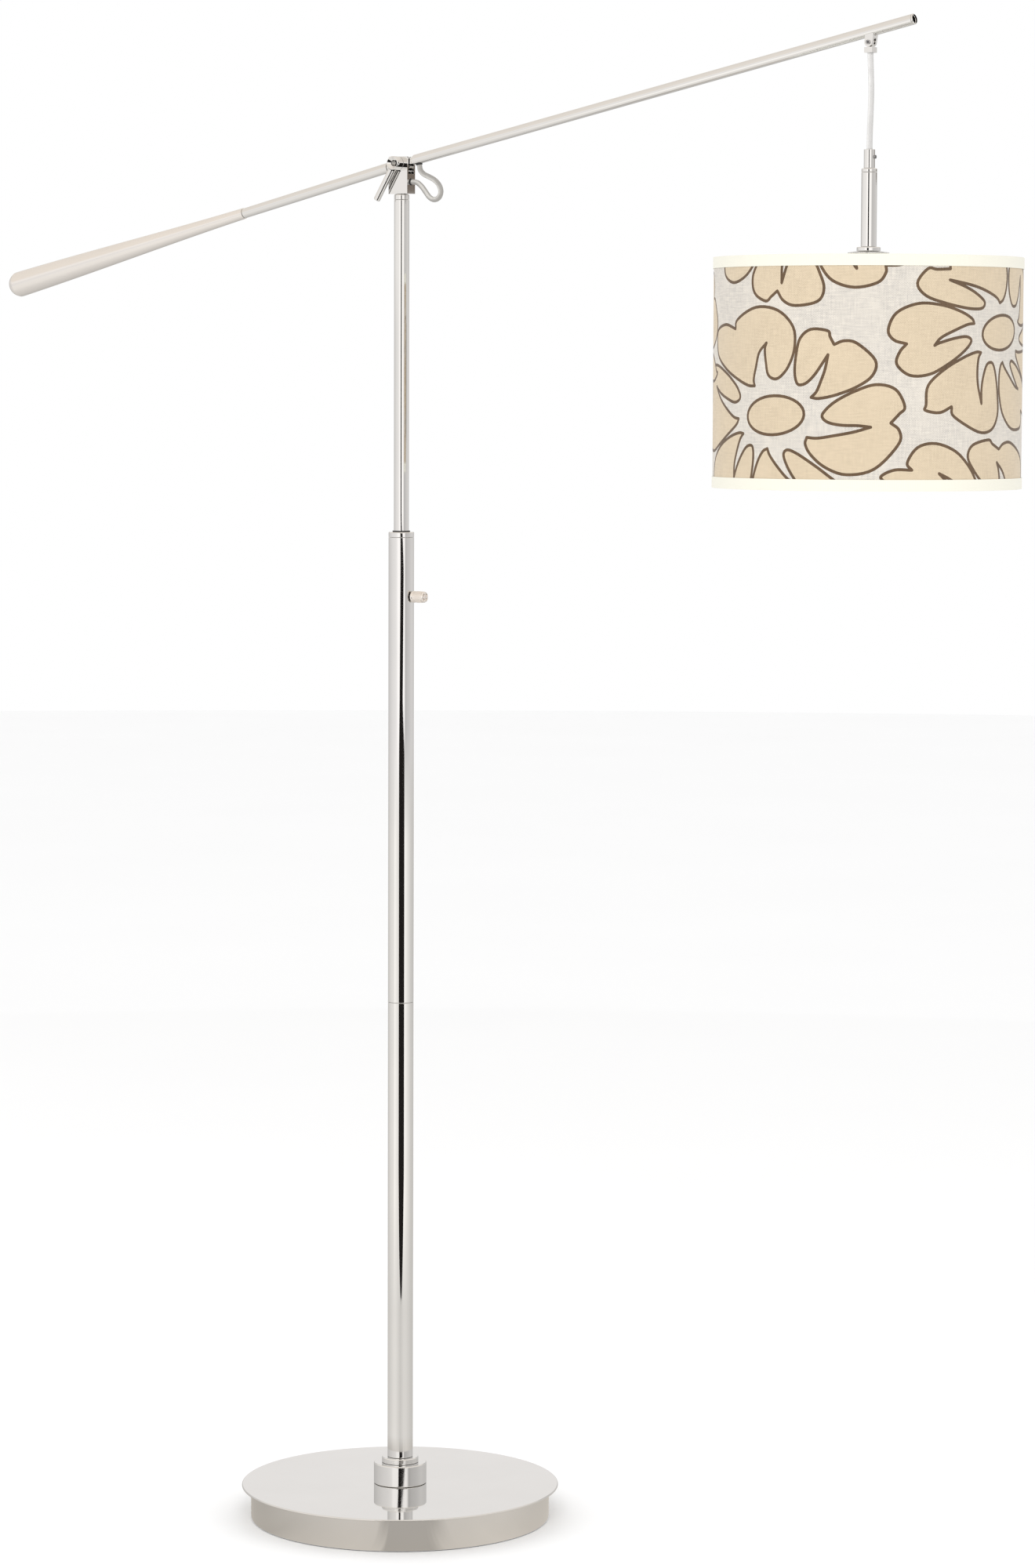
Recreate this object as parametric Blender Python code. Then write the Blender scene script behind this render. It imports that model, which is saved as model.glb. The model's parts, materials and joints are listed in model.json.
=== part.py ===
"""Adjustable arm floor lamp: a weighted round base, a telescoping pole, a counterbalanced boom and a drum shade.

Units are metres and +Z is up. The origin is the centre of the base's underside, on the floor. The pole
stands on the Z axis. The boom lies in the XZ plane: it rises towards +X, where the shade hangs, and falls
towards -X, where its weighted handle is. The clamp lever is on the -Y side.
"""

import math

import bmesh
import bpy
from mathutils import Vector

MM = 0.001

# ---------------------------------------------------------------- clearances
GAP = 0.3 * MM  # between pieces that touch
RUNNING = 0.3 * MM  # radial room around a shaft that turns or slides
SLACK = 0.1 * MM  # radial room between a fixed spigot and its bore, on top of GAP

# ---------------------------------------------------------------- facets
BASE_SIDES = 48
SHADE_SIDES = 48
POLE_SIDES = 24
ROD_SIDES = 16
SMALL_SIDES = 12
WIRE_SIDES = 6

# ---------------------------------------------------------------- broken edges
EDGE = 0.8 * MM
FINE_EDGE = 0.6 * MM

# ---------------------------------------------------------------- base
PLATE_RADIUS = 190.5 * MM
PLATE_THICKNESS = 2.5 * MM
SKIRT_RADIUS = 179.5 * MM
SKIRT_WALL = 1.5 * MM
SKIRT_LIFT = 0.8 * MM
BASE_HEIGHT = 41.0 * MM
PAD_THICKNESS = 2.0 * MM
WEIGHT_RADIUS = 165.0 * MM
WEIGHT_THICKNESS = 13.0 * MM
WEIGHT_EDGE = 2.0 * MM
GLAND_RADIUS = 5.5 * MM
GLAND_BORE = 3.0 * MM
GLAND_FLANGE = 8.0 * MM
GLAND_FLANGE_HEIGHT = 3.0 * MM
GLAND_TAIL = 4.0 * MM
GLAND_HEIGHT = 18.0 * MM

# ---------------------------------------------------------------- pole foot
DRUM_RADIUS = 31.75 * MM
DRUM_HEIGHT = 25.0 * MM
COLLAR_RADIUS = 22.0 * MM
COLLAR_HEIGHT = 6.4 * MM
NIPPLE_RADIUS = 6.5 * MM
NIPPLE_BORE = 4.5 * MM
NIPPLE_TAIL = 2.0 * MM
NIPPLE_SHORT = 6.0 * MM
NUT_RADIUS = 12.0 * MM
NUT_HEIGHT = 8.0 * MM
LOCK_WASHER_RADIUS = 18.0 * MM
LOCK_WASHER_THICKNESS = 2.0 * MM
PLUG_LENGTH = 35.0 * MM

# ---------------------------------------------------------------- lower pole
POLE_RADIUS = 15.25 * MM
POLE_WALL = 1.5 * MM
POLE_SEAM_Z = 625.0 * MM
POLE_TOP_Z = 1186.5 * MM
CAP_RING_HEIGHT = 6.0 * MM
COUPLER_HALF_LENGTH = 30.0 * MM
COUPLER_WALL = 2.0 * MM
GUIDE_LENGTH = 28.0 * MM

# ---------------------------------------------------------------- height lock
KNOB_DROP = 76.5 * MM
KNOB_EDGE = 1.0 * MM
KNOB_RADIUS = 6.9 * MM
KNOB_LENGTH = 17.5 * MM
KNOB_FLUTES = 6
KNOB_FLUTE_DEPTH = 0.7 * MM
KNOB_WASHER_RADIUS = 5.2 * MM
KNOB_WASHER_THICKNESS = 1.4 * MM
SCREW_RADIUS = 2.5 * MM
SCREW_GRIP = 11.0 * MM
BOSS_RADIUS = 4.5 * MM

# ---------------------------------------------------------------- mast
MAST_RADIUS = 9.0 * MM
MAST_WALL = 1.5 * MM
MAST_OVERLAP = 221.5 * MM
GLIDE_LENGTH = 20.0 * MM
MAST_FLANGE_RADIUS = 12.0 * MM
MAST_FLANGE_THICKNESS = 4.0 * MM
FERRULE_HEIGHT = 6.5 * MM
FERRULE_CHAMFER = 1.2 * MM
SPIGOT_LENGTH = 22.0 * MM

# ---------------------------------------------------------------- head and clamp lever
PIVOT_Z = 1620.0 * MM
HEAD_WIDTH = 27.0 * MM
HEAD_DEPTH = 16.0 * MM
HEAD_RISE = 8.0 * MM
HEAD_DROP = 35.5 * MM
SLOT_FLOOR = 9.0 * MM
SLOT_EDGE_DROP = 3.4 * MM
WASHER_RADIUS = 7.4 * MM
WASHER_THICKNESS = 0.8 * MM
BOLT_RADIUS = 3.0 * MM
BOLT_HEAD_RADIUS = 6.0 * MM
BOLT_HEAD_HEIGHT = 3.5 * MM
HUB_RADIUS = 8.0 * MM
HUB_LENGTH = 11.8 * MM
HUB_FACE = 3.0 * MM
LEVER_RADIUS = 3.9 * MM
LEVER_REACH = 50.0 * MM
LEVER_ANGLE = math.radians(31.5)

# ---------------------------------------------------------------- boom
BOOM_RADIUS = 6.0 * MM
BOOM_WALL = 1.0 * MM
FRONT_RISE = math.radians(11.6)
REAR_FALL = math.radians(13.1)
KNUCKLE_RADIUS = 7.6 * MM
KNUCKLE_THICKNESS = 8.4 * MM
BOOM_START = 19.5 * MM
KNUCKLE_SPIGOT = 26.0 * MM
BOOM_FRONT_END = 700.0 * MM
TIP_CAP_LENGTH = 2.0 * MM
TIP_PLUG_LENGTH = 12.0 * MM
HANDLE_START = 239.0 * MM
HANDLE_END = 614.0 * MM
HANDLE_ROOT_RADIUS = 6.6 * MM
HANDLE_RADIUS = 15.4 * MM
HANDLE_SPIGOT = 30.0 * MM

# ---------------------------------------------------------------- cord loop at the head
CORD_RADIUS = 3.1 * MM
CORD_EXIT_ALONG = 24.4 * MM
BUSH_WALL = 0.8 * MM
BUSH_PROUD = 1.0 * MM
BUSH_LIP = 0.6 * MM
HEAD_BUSH_DEPTH = 4.0 * MM
BOOM_BUSH_DEPTH = 2.5 * MM
HEAD_CORD_RISE = 13.9 * MM
LOOP_ROUTE = [  # from the boom's pivot, in millimetres
    (25.4, -2.3),
    (27.0, -8.4),
    (32.2, -13.2),
    (39.6, -16.4),
    (47.2, -20.2),
    (53.6, -26.2),
    (56.2, -33.6),
    (53.6, -40.4),
    (47.0, -43.0),
    (40.4, -40.4),
    (34.8, -34.4),
    (29.4, -28.0),
    (22.4, -22.8),
    (14.8, -21.6),
]

# ---------------------------------------------------------------- hanger
HANGER_ALONG = 647.6 * MM
FORK_WIDTH = 10.0 * MM
FORK_DEPTH = 11.0 * MM
FORK_DROP = 12.6 * MM
FORK_LEAN = math.radians(8.0)
TONGUE_THICKNESS = 3.8 * MM
TONGUE_RADIUS = 4.0 * MM
PIN_RADIUS = 1.5 * MM
PIN_HEAD_RADIUS = 2.6 * MM
PIN_HEAD_HEIGHT = 0.9 * MM
GRIP_LENGTH = 6.0 * MM
GRIP_ROOF = 1.4 * MM
SWAY_ROOM = 0.8 * MM
SWAY_LIMIT = math.radians(8.0)

# ---------------------------------------------------------------- pendant
PENDANT_CORD_RADIUS = 3.2 * MM
PENDANT_DROP = 109.44 * MM
SLEEVE_LENGTH = 20.5 * MM
SLEEVE_RADIUS = 6.2 * MM
SLEEVE_SCREW_RADIUS = 2.0 * MM
SLEEVE_SCREW_PROUD = 1.8 * MM
SLEEVE_SCREW_RISE = 2.0 * MM
STEM_LENGTH = 86.0 * MM
STEM_RADIUS = 8.7 * MM
STEM_WALL = 1.5 * MM
STEM_RING_HEIGHT = 4.0 * MM
SEAT_RADIUS = 13.2 * MM
SEAT_HEIGHT = 4.3 * MM
DISH_RADIUS = 23.0 * MM
DISH_THICKNESS = 1.6 * MM
DISH_SAG = 1.4 * MM
SHADE_SINK = 1.2 * MM
SHADE_HEIGHT = 254.0 * MM
SHADE_RADIUS = 171.5 * MM
FABRIC_THICKNESS = 0.9 * MM
TRIM_THICKNESS = 0.5 * MM
TRIM_WIDTH = 12.5 * MM
TRIM_TURN_IN = 6.0 * MM
WIRE_RADIUS = 1.6 * MM
SPIDER_ARMS = 3
SPIDER_HUB_RADIUS = 17.0 * MM
SPIDER_HUB_THICKNESS = 4.0 * MM
SOCKET_RADIUS = 17.0 * MM
SOCKET_WALL = 1.2 * MM
SOCKET_HEADROOM = 7.0 * MM
SOCKET_LIP = 2.0 * MM
INSULATOR_ROOF = 4.0 * MM
LAMP_CAP_RADIUS = 12.9 * MM
LAMP_CAP_LENGTH = 24.0 * MM
BULB_RADIUS = 30.0 * MM
BULB_LENGTH = 82.0 * MM
PENDANT_NIPPLE_RADIUS = 4.8 * MM
PENDANT_NIPPLE_BORE = 3.4 * MM
PENDANT_NIPPLE_GRIP = 16.0 * MM
PENDANT_NIPPLE_TAIL = 5.0 * MM

# ---------------------------------------------------------------- places worked out from the sizes
SKIRT_TOP_Z = BASE_HEIGHT - PLATE_THICKNESS - GAP
WEIGHT_BOTTOM_Z = SKIRT_TOP_Z - GAP - WEIGHT_THICKNESS
DRUM_TOP_Z = BASE_HEIGHT + GAP + DRUM_HEIGHT
COLLAR_TOP_Z = DRUM_TOP_Z + GAP + COLLAR_HEIGHT
POLE_BORE = POLE_RADIUS - POLE_WALL
POLE_FOOT_Z = COLLAR_TOP_Z + GAP
PLUG_TOP_Z = POLE_FOOT_Z + PLUG_LENGTH
KNOB_Z = POLE_TOP_Z - KNOB_DROP
CAP_RING_Z = POLE_TOP_Z - CAP_RING_HEIGHT
GUIDE_TOP_Z = CAP_RING_Z - GAP
MAST_BORE = MAST_RADIUS - MAST_WALL
MAST_FOOT_Z = POLE_TOP_Z - MAST_OVERLAP
HEAD_BASE_Z = PIVOT_Z - HEAD_DROP
HEAD_CORD_Z = HEAD_BASE_Z + HEAD_CORD_RISE
FERRULE_Z = HEAD_BASE_Z - GAP - FERRULE_HEIGHT
SLOT_HALF = KNUCKLE_THICKNESS / 2 + GAP + WASHER_THICKNESS + GAP
HUB_BACK_Y = -HEAD_DEPTH / 2 - GAP
BOOM_BORE = BOOM_RADIUS - BOOM_WALL
FRONT_AXIS = Vector((math.cos(FRONT_RISE), 0.0, math.sin(FRONT_RISE)))
REAR_AXIS = Vector((-math.cos(REAR_FALL), 0.0, -math.sin(REAR_FALL)))
ARM_PIVOT = Vector((0.0, 0.0, PIVOT_Z))
HANGER_ROOT = ARM_PIVOT + FRONT_AXIS * HANGER_ALONG
FORK_AXIS = Vector((-math.sin(FORK_LEAN), 0.0, -math.cos(FORK_LEAN)))
SWING_PIVOT = HANGER_ROOT + FORK_AXIS * FORK_DROP
GRIP_TOP = FORK_WIDTH / 2 + GAP
SWAY_DEPTH = GRIP_LENGTH - GRIP_ROOF - SWAY_ROOM
SWAY_PIVOT = SWING_PIVOT - Vector((0.0, 0.0, GRIP_TOP + GRIP_ROOF + SWAY_ROOM))
MOUTH_RADIUS = PENDANT_CORD_RADIUS / math.cos(SWAY_LIMIT) + GAP + SWAY_DEPTH * math.tan(SWAY_LIMIT)
PENDANT_X = SWING_PIVOT.x
SLEEVE_TOP_Z = SWAY_PIVOT.z - PENDANT_DROP
STEM_TOP_Z = SLEEVE_TOP_Z - SLEEVE_LENGTH - GAP
STEM_FOOT_Z = STEM_TOP_Z - STEM_LENGTH
PENDANT_CORD_ROUTE = [
    (PENDANT_X, SWAY_PIVOT.z),
    (PENDANT_X + 0.1 * MM, SWAY_PIVOT.z - 8 * MM),
    (PENDANT_X + 0.9 * MM, SWAY_PIVOT.z - 26 * MM),
    (PENDANT_X + 1.5 * MM, SWAY_PIVOT.z - 46 * MM),
    (PENDANT_X + 1.1 * MM, SLEEVE_TOP_Z + 44 * MM),
    (PENDANT_X + 0.3 * MM, SLEEVE_TOP_Z + 22 * MM),
    (PENDANT_X, SLEEVE_TOP_Z + 8 * MM),
    (PENDANT_X, SLEEVE_TOP_Z + GAP),
]
FABRIC_RADIUS = SHADE_RADIUS - TRIM_THICKNESS - GAP
FABRIC_BORE = FABRIC_RADIUS - FABRIC_THICKNESS
TRIM_BORE = FABRIC_BORE - GAP - TRIM_THICKNESS
WIRE_RING_RADIUS = TRIM_BORE - GAP - WIRE_RADIUS
WIRE_INSET = TRIM_THICKNESS + GAP + WIRE_RADIUS
SEAT_BOTTOM_Z = STEM_FOOT_Z - GAP - SEAT_HEIGHT
DISH_TOP_Z = SEAT_BOTTOM_Z - GAP
SPIDER_TOP_Z = DISH_TOP_Z - DISH_THICKNESS - GAP
SPIDER_BOTTOM_Z = SPIDER_TOP_Z - SPIDER_HUB_THICKNESS
SHADE_TOP_Z = SPIDER_BOTTOM_Z - SHADE_SINK
SHADE_BOTTOM_Z = SHADE_TOP_Z - SHADE_HEIGHT
SOCKET_TOP_Z = SPIDER_BOTTOM_Z - GAP
INSULATOR_TOP_Z = SOCKET_TOP_Z - SOCKET_WALL - SOCKET_HEADROOM
LAMP_CAP_TOP_Z = INSULATOR_TOP_Z - INSULATOR_ROOF - GAP
LAMP_CAP_LOW_Z = LAMP_CAP_TOP_Z - LAMP_CAP_LENGTH
SOCKET_BOTTOM_Z = LAMP_CAP_LOW_Z - SOCKET_LIP
NIPPLE_TO_PIECE = PENDANT_NIPPLE_RADIUS + GAP + SLACK


# ---------------------------------------------------------------- finishes
def finish(name, colour, roughness, metallic=0.0, alpha=1.0):
    """A Principled material of one colour."""
    material = bpy.data.materials.new(name)
    material.use_nodes = True
    shader = material.node_tree.nodes["Principled BSDF"]
    shader.inputs["Base Color"].default_value = (*colour, 1.0)
    shader.inputs["Roughness"].default_value = roughness
    shader.inputs["Metallic"].default_value = metallic
    shader.inputs["Alpha"].default_value = alpha
    return material


def all_finishes():
    """Every finish on the lamp, by name."""
    return {
        "chrome": finish("chrome", (0.78, 0.77, 0.75), 0.06, 1.0),
        "iron": finish("iron", (0.07, 0.07, 0.075), 0.7, 0.6),
        "steel": finish("steel", (0.42, 0.42, 0.43), 0.3, 1.0),
        "brass": finish("brass", (0.75, 0.55, 0.25), 0.3, 1.0),
        "felt": finish("felt", (0.03, 0.03, 0.032), 0.95),
        "black_plastic": finish("black_plastic", (0.02, 0.02, 0.02), 0.45),
        "nylon": finish("nylon", (0.75, 0.74, 0.7), 0.5),
        "clear_cord": finish("clear_cord", (0.8, 0.79, 0.77), 0.25),
        "printed_linen": finish("printed_linen", (0.78, 0.68, 0.52), 0.85),
        "cream_trim": finish("cream_trim", (0.93, 0.9, 0.78), 0.8),
        "white_wire": finish("white_wire", (0.85, 0.85, 0.83), 0.4),
        "opal_glass": finish("opal_glass", (0.95, 0.94, 0.9), 0.2),
    }


# ---------------------------------------------------------------- makers
def add(name, mesh, look, parent=None, at=(0, 0, 0), turn=(0, 0, 0)):
    """An object of a mesh, with its material, placed under its parent."""
    item = bpy.data.objects.new(name, mesh)
    bpy.context.scene.collection.objects.link(item)
    item.parent = parent
    item.location = at
    item.rotation_euler = turn
    if look is not None:
        mesh.materials.append(look)
    return item


def pivot(name, at, parent=None):
    """An empty on a joint's axis."""
    empty = bpy.data.objects.new(name, None)
    bpy.context.scene.collection.objects.link(empty)
    empty.parent = parent
    empty.location = at
    empty.empty_display_size = 0.02
    return empty


def finished(shape, name, smooth=True):
    """A mesh of a bmesh, with its faces pointing out and its round sides smooth."""
    bmesh.ops.recalc_face_normals(shape, faces=shape.faces)
    mesh = bpy.data.meshes.new(name)
    shape.to_mesh(mesh)
    shape.free()
    if smooth:
        mesh.shade_smooth()
        mesh.set_sharp_from_angle(angle=math.radians(32))
    return mesh


def turned_mesh(name, outline, sides, radius_at=None):
    """A closed outline of (radius, height) points turned about Z."""
    shape = bmesh.new()
    rings = []
    for radius, height in outline:
        if radius <= 0.0:
            rings.append([shape.verts.new((0.0, 0.0, height))])
            continue
        ring = []
        for side in range(sides):
            angle = 2 * math.pi * side / sides
            reach = radius * (radius_at(angle) if radius_at else 1.0)
            ring.append(shape.verts.new((reach * math.cos(angle), reach * math.sin(angle), height)))
        rings.append(ring)
    for low, high in zip(rings, rings[1:] + rings[:1]):
        if len(low) == 1 and len(high) == 1:
            continue
        for side in range(sides):
            after = (side + 1) % sides
            if len(low) == 1:
                shape.faces.new((low[0], high[side], high[after]))
            elif len(high) == 1:
                shape.faces.new((low[side], low[after], high[0]))
            else:
                shape.faces.new((low[side], low[after], high[after], high[side]))
    return finished(shape, name)


def turned(name, outline, sides, look, **place):
    """A turned piece."""
    return add(name, turned_mesh(name, outline, sides), look, **place)


def tube(name, radius, bore, low, high, sides, look, **place):
    """A plain tube along Z."""
    outline = [(bore, low), (radius, low), (radius, high), (bore, high)]
    return turned(name, outline, sides, look, **place)


def rod(name, radius, low, high, sides, look, **place):
    """A plain solid rod along Z."""
    outline = [(0.0, low), (radius, low), (radius, high), (0.0, high)]
    return turned(name, outline, sides, look, **place)


def block(name, size, look, centre=(0, 0, 0), **place):
    """A rectangular block about a centre."""
    shape = bmesh.new()
    bmesh.ops.create_cube(shape, size=1.0)
    bmesh.ops.scale(shape, vec=size, verts=shape.verts)
    bmesh.ops.translate(shape, vec=centre, verts=shape.verts)
    return add(name, finished(shape, name, smooth=False), look, **place)


def prism(name, outline, low, high, look, **place):
    """A closed outline of (x, z) points extruded along Y from low to high."""
    shape = bmesh.new()
    near = [shape.verts.new((x, low, z)) for x, z in outline]
    far = [shape.verts.new((x, high, z)) for x, z in outline]
    shape.faces.new(near)
    shape.faces.new(far)
    for index in range(len(outline)):
        after = (index + 1) % len(outline)
        shape.faces.new((near[index], near[after], far[after], far[index]))
    return add(name, finished(shape, name, smooth=False), look, **place)


def combine(target, other, operation):
    """A Boolean on the target, with the other shape hidden as its tool."""
    change = target.modifiers.new(other.name, "BOOLEAN")
    change.object = other
    change.operation = operation
    change.solver = "EXACT"
    other.hide_render = True
    other.display_type = "WIRE"
    return target


def cut(target, other):
    """Takes the other shape out of the target."""
    return combine(target, other, "DIFFERENCE")


def weld(target, other):
    """Joins the other shape to the target."""
    return combine(target, other, "UNION")


def smooth_line(points, spacing):
    """Evenly spaced points on a smooth curve through a route's points."""
    route = [Vector(point) for point in points]
    ends = [route[0] * 2 - route[1]] + route + [route[-1] * 2 - route[-2]]
    fine = []
    for a, b, c, d in zip(ends, ends[1:], ends[2:], ends[3:]):
        for step in range(20):
            t = step / 20
            flow = (c - a) * t + (a * 2 - b * 5 + c * 4 - d) * t**2 + (b * 3 - a - c * 3 + d) * t**3
            fine.append(b + flow / 2)
    fine.append(route[-1])
    along = [0.0]
    for a, b in zip(fine, fine[1:]):
        along.append(along[-1] + (b - a).length)
    count = max(2, round(along[-1] / spacing))
    line = []
    index = 0
    for step in range(count + 1):
        wanted = along[-1] * step / count
        while index < len(fine) - 2 and along[index + 1] < wanted:
            index += 1
        share = (wanted - along[index]) / (along[index + 1] - along[index])
        line.append(fine[index].lerp(fine[index + 1], share))
    return line


def cord(name, route, radius, spacing, look, parent, origin):
    """A round cord along a smooth route of (x, z) points, as a bevelled curve with filled caps."""
    line = smooth_line([(x, 0.0, z) for x, z in route], spacing)
    curve = bpy.data.curves.new(name, "CURVE")
    curve.dimensions = "3D"
    curve.bevel_depth = radius
    curve.bevel_resolution = 3
    curve.use_fill_caps = True
    curve.materials.append(look)
    spline = curve.splines.new("POLY")
    spline.points.add(len(line) - 1)
    for point, place in zip(spline.points, line):
        point.co = (*(place - origin), 1.0)
    item = bpy.data.objects.new(name, curve)
    bpy.context.scene.collection.objects.link(item)
    item.parent = parent
    return item


# Rotations that lay a piece made along Z on another axis.
ALONG_X = (0.0, math.radians(90), 0.0)
ALONG_Y = (math.radians(-90), 0.0, 0.0)
ALONG_FRONT = (0.0, math.radians(90) - FRONT_RISE, 0.0)
ALONG_REAR = (0.0, -math.radians(90) - REAR_FALL, 0.0)
ALONG_FORK = (0.0, math.radians(180) + FORK_LEAN, 0.0)


# ---------------------------------------------------------------- base
def make_base(look):
    """The felt pad, the iron weight, the skirt, the top plate, the gland and their bolt."""
    pad_radius = SKIRT_RADIUS - SKIRT_WALL - GAP
    rod("floor_pad", pad_radius, 0.0, PAD_THICKNESS, BASE_SIDES, look["felt"])
    bore = NIPPLE_RADIUS + GAP
    outline = [
        (bore, WEIGHT_BOTTOM_Z),
        (WEIGHT_RADIUS - WEIGHT_EDGE, WEIGHT_BOTTOM_Z),
        (WEIGHT_RADIUS, WEIGHT_BOTTOM_Z + WEIGHT_EDGE),
        (WEIGHT_RADIUS, SKIRT_TOP_Z - GAP),
        (bore, SKIRT_TOP_Z - GAP),
    ]
    turned("base_weight", outline, BASE_SIDES, look["iron"])
    skirt = tube(
        "base_skirt",
        SKIRT_RADIUS,
        SKIRT_RADIUS - SKIRT_WALL,
        SKIRT_LIFT,
        SKIRT_TOP_Z,
        BASE_SIDES,
        look["chrome"],
    )
    hole = GLAND_RADIUS + GAP
    reach = SKIRT_WALL * 4
    at_skirt = (0.0, SKIRT_RADIUS, GLAND_HEIGHT)
    cut(skirt, rod("gland_hole", hole, -reach, reach, SMALL_SIDES, None, at=at_skirt, turn=ALONG_Y))
    # The skirt's facets lie a little inside its radius, so the flange stands clear of their edges.
    flange = SKIRT_RADIUS * (1 - math.cos(math.pi / BASE_SIDES)) + GAP
    tail = -SKIRT_WALL - GLAND_TAIL
    face = flange + GLAND_FLANGE_HEIGHT
    outline = [
        (GLAND_BORE, tail),
        (GLAND_RADIUS, tail),
        (GLAND_RADIUS, flange),
        (GLAND_FLANGE, flange),
        (GLAND_FLANGE - GLAND_FLANGE_HEIGHT / 2, face),
        (GLAND_BORE, face),
    ]
    turned("cord_gland", outline, SMALL_SIDES, look["black_plastic"], at=at_skirt, turn=ALONG_Y)
    low = BASE_HEIGHT - PLATE_THICKNESS
    edge = PLATE_THICKNESS * 0.3
    outline = [
        (bore, low),
        (PLATE_RADIUS - edge, low),
        (PLATE_RADIUS, low + edge),
        (PLATE_RADIUS, BASE_HEIGHT - edge),
        (PLATE_RADIUS - edge, BASE_HEIGHT),
        (bore, BASE_HEIGHT),
    ]
    turned("base_plate", outline, BASE_SIDES, look["chrome"])
    washer_top = WEIGHT_BOTTOM_Z - GAP
    washer_low = washer_top - LOCK_WASHER_THICKNESS
    tube("base_washer", LOCK_WASHER_RADIUS, bore, washer_low, washer_top, ROD_SIDES, look["steel"])
    nut_top = washer_low - GAP
    nut_low = nut_top - NUT_HEIGHT
    nut = rod("base_nut", NUT_RADIUS, nut_low, nut_top, 6, look["steel"])
    cut(nut, rod("nut_bore", bore, nut_low - NUT_HEIGHT, nut_top + NUT_HEIGHT, SMALL_SIDES, None))
    nipple = (NIPPLE_RADIUS, NIPPLE_BORE, nut_low - NIPPLE_TAIL, PLUG_TOP_Z - NIPPLE_SHORT)
    tube("base_nipple", *nipple, SMALL_SIDES, look["steel"])


def make_pole_foot(look):
    """The drum and the collar that the pole stands in, and the plug that holds it."""
    bore = NIPPLE_RADIUS + GAP
    low = BASE_HEIGHT + GAP
    outline = [
        (bore, low),
        (DRUM_RADIUS, low),
        (DRUM_RADIUS, DRUM_TOP_Z - EDGE),
        (DRUM_RADIUS - EDGE, DRUM_TOP_Z),
        (bore, DRUM_TOP_Z),
    ]
    turned("pole_drum", outline, POLE_SIDES, look["chrome"])
    outline = [
        (bore, DRUM_TOP_Z + GAP),
        (COLLAR_RADIUS, DRUM_TOP_Z + GAP),
        (COLLAR_RADIUS, COLLAR_TOP_Z - EDGE),
        (COLLAR_RADIUS - EDGE, COLLAR_TOP_Z),
        (bore, COLLAR_TOP_Z),
    ]
    turned("pole_collar", outline, POLE_SIDES, look["chrome"])
    plug = (POLE_BORE - GAP, bore, POLE_FOOT_Z, PLUG_TOP_Z)
    tube("pole_foot_plug", *plug, POLE_SIDES, look["steel"])


# ---------------------------------------------------------------- lower pole
def make_lower_pole(look):
    """Two tube sections with their coupler, the cap ring and the upper guide."""
    section = (POLE_RADIUS, POLE_BORE)
    tube("pole_bottom_section", *section, POLE_FOOT_Z, POLE_SEAM_Z, POLE_SIDES, look["chrome"])
    low = POLE_SEAM_Z + GAP
    upper = tube("pole_top_section", *section, low, CAP_RING_Z - GAP, POLE_SIDES, look["chrome"])
    at_knob = (0.0, 0.0, KNOB_Z)
    hole = SCREW_RADIUS + RUNNING
    span = (POLE_BORE - POLE_WALL, POLE_RADIUS + POLE_WALL)
    cut(upper, rod("lock_hole", hole, *span, SMALL_SIDES, None, at=at_knob, turn=ALONG_X))
    outer = POLE_BORE - GAP
    low, high = POLE_SEAM_Z - COUPLER_HALF_LENGTH, POLE_SEAM_Z + COUPLER_HALF_LENGTH
    tube("pole_coupler", outer, outer - COUPLER_WALL, low, high, POLE_SIDES, look["steel"])
    bore = MAST_RADIUS + RUNNING
    outline = [
        (bore, CAP_RING_Z),
        (POLE_RADIUS, CAP_RING_Z),
        (POLE_RADIUS, POLE_TOP_Z - EDGE),
        (POLE_RADIUS - EDGE, POLE_TOP_Z),
        (bore, POLE_TOP_Z),
    ]
    turned("pole_cap_ring", outline, POLE_SIDES, look["chrome"])
    guide = (outer, bore, GUIDE_TOP_Z - GUIDE_LENGTH, GUIDE_TOP_Z)
    tube("pole_guide_bush", *guide, POLE_SIDES, look["nylon"])


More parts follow.
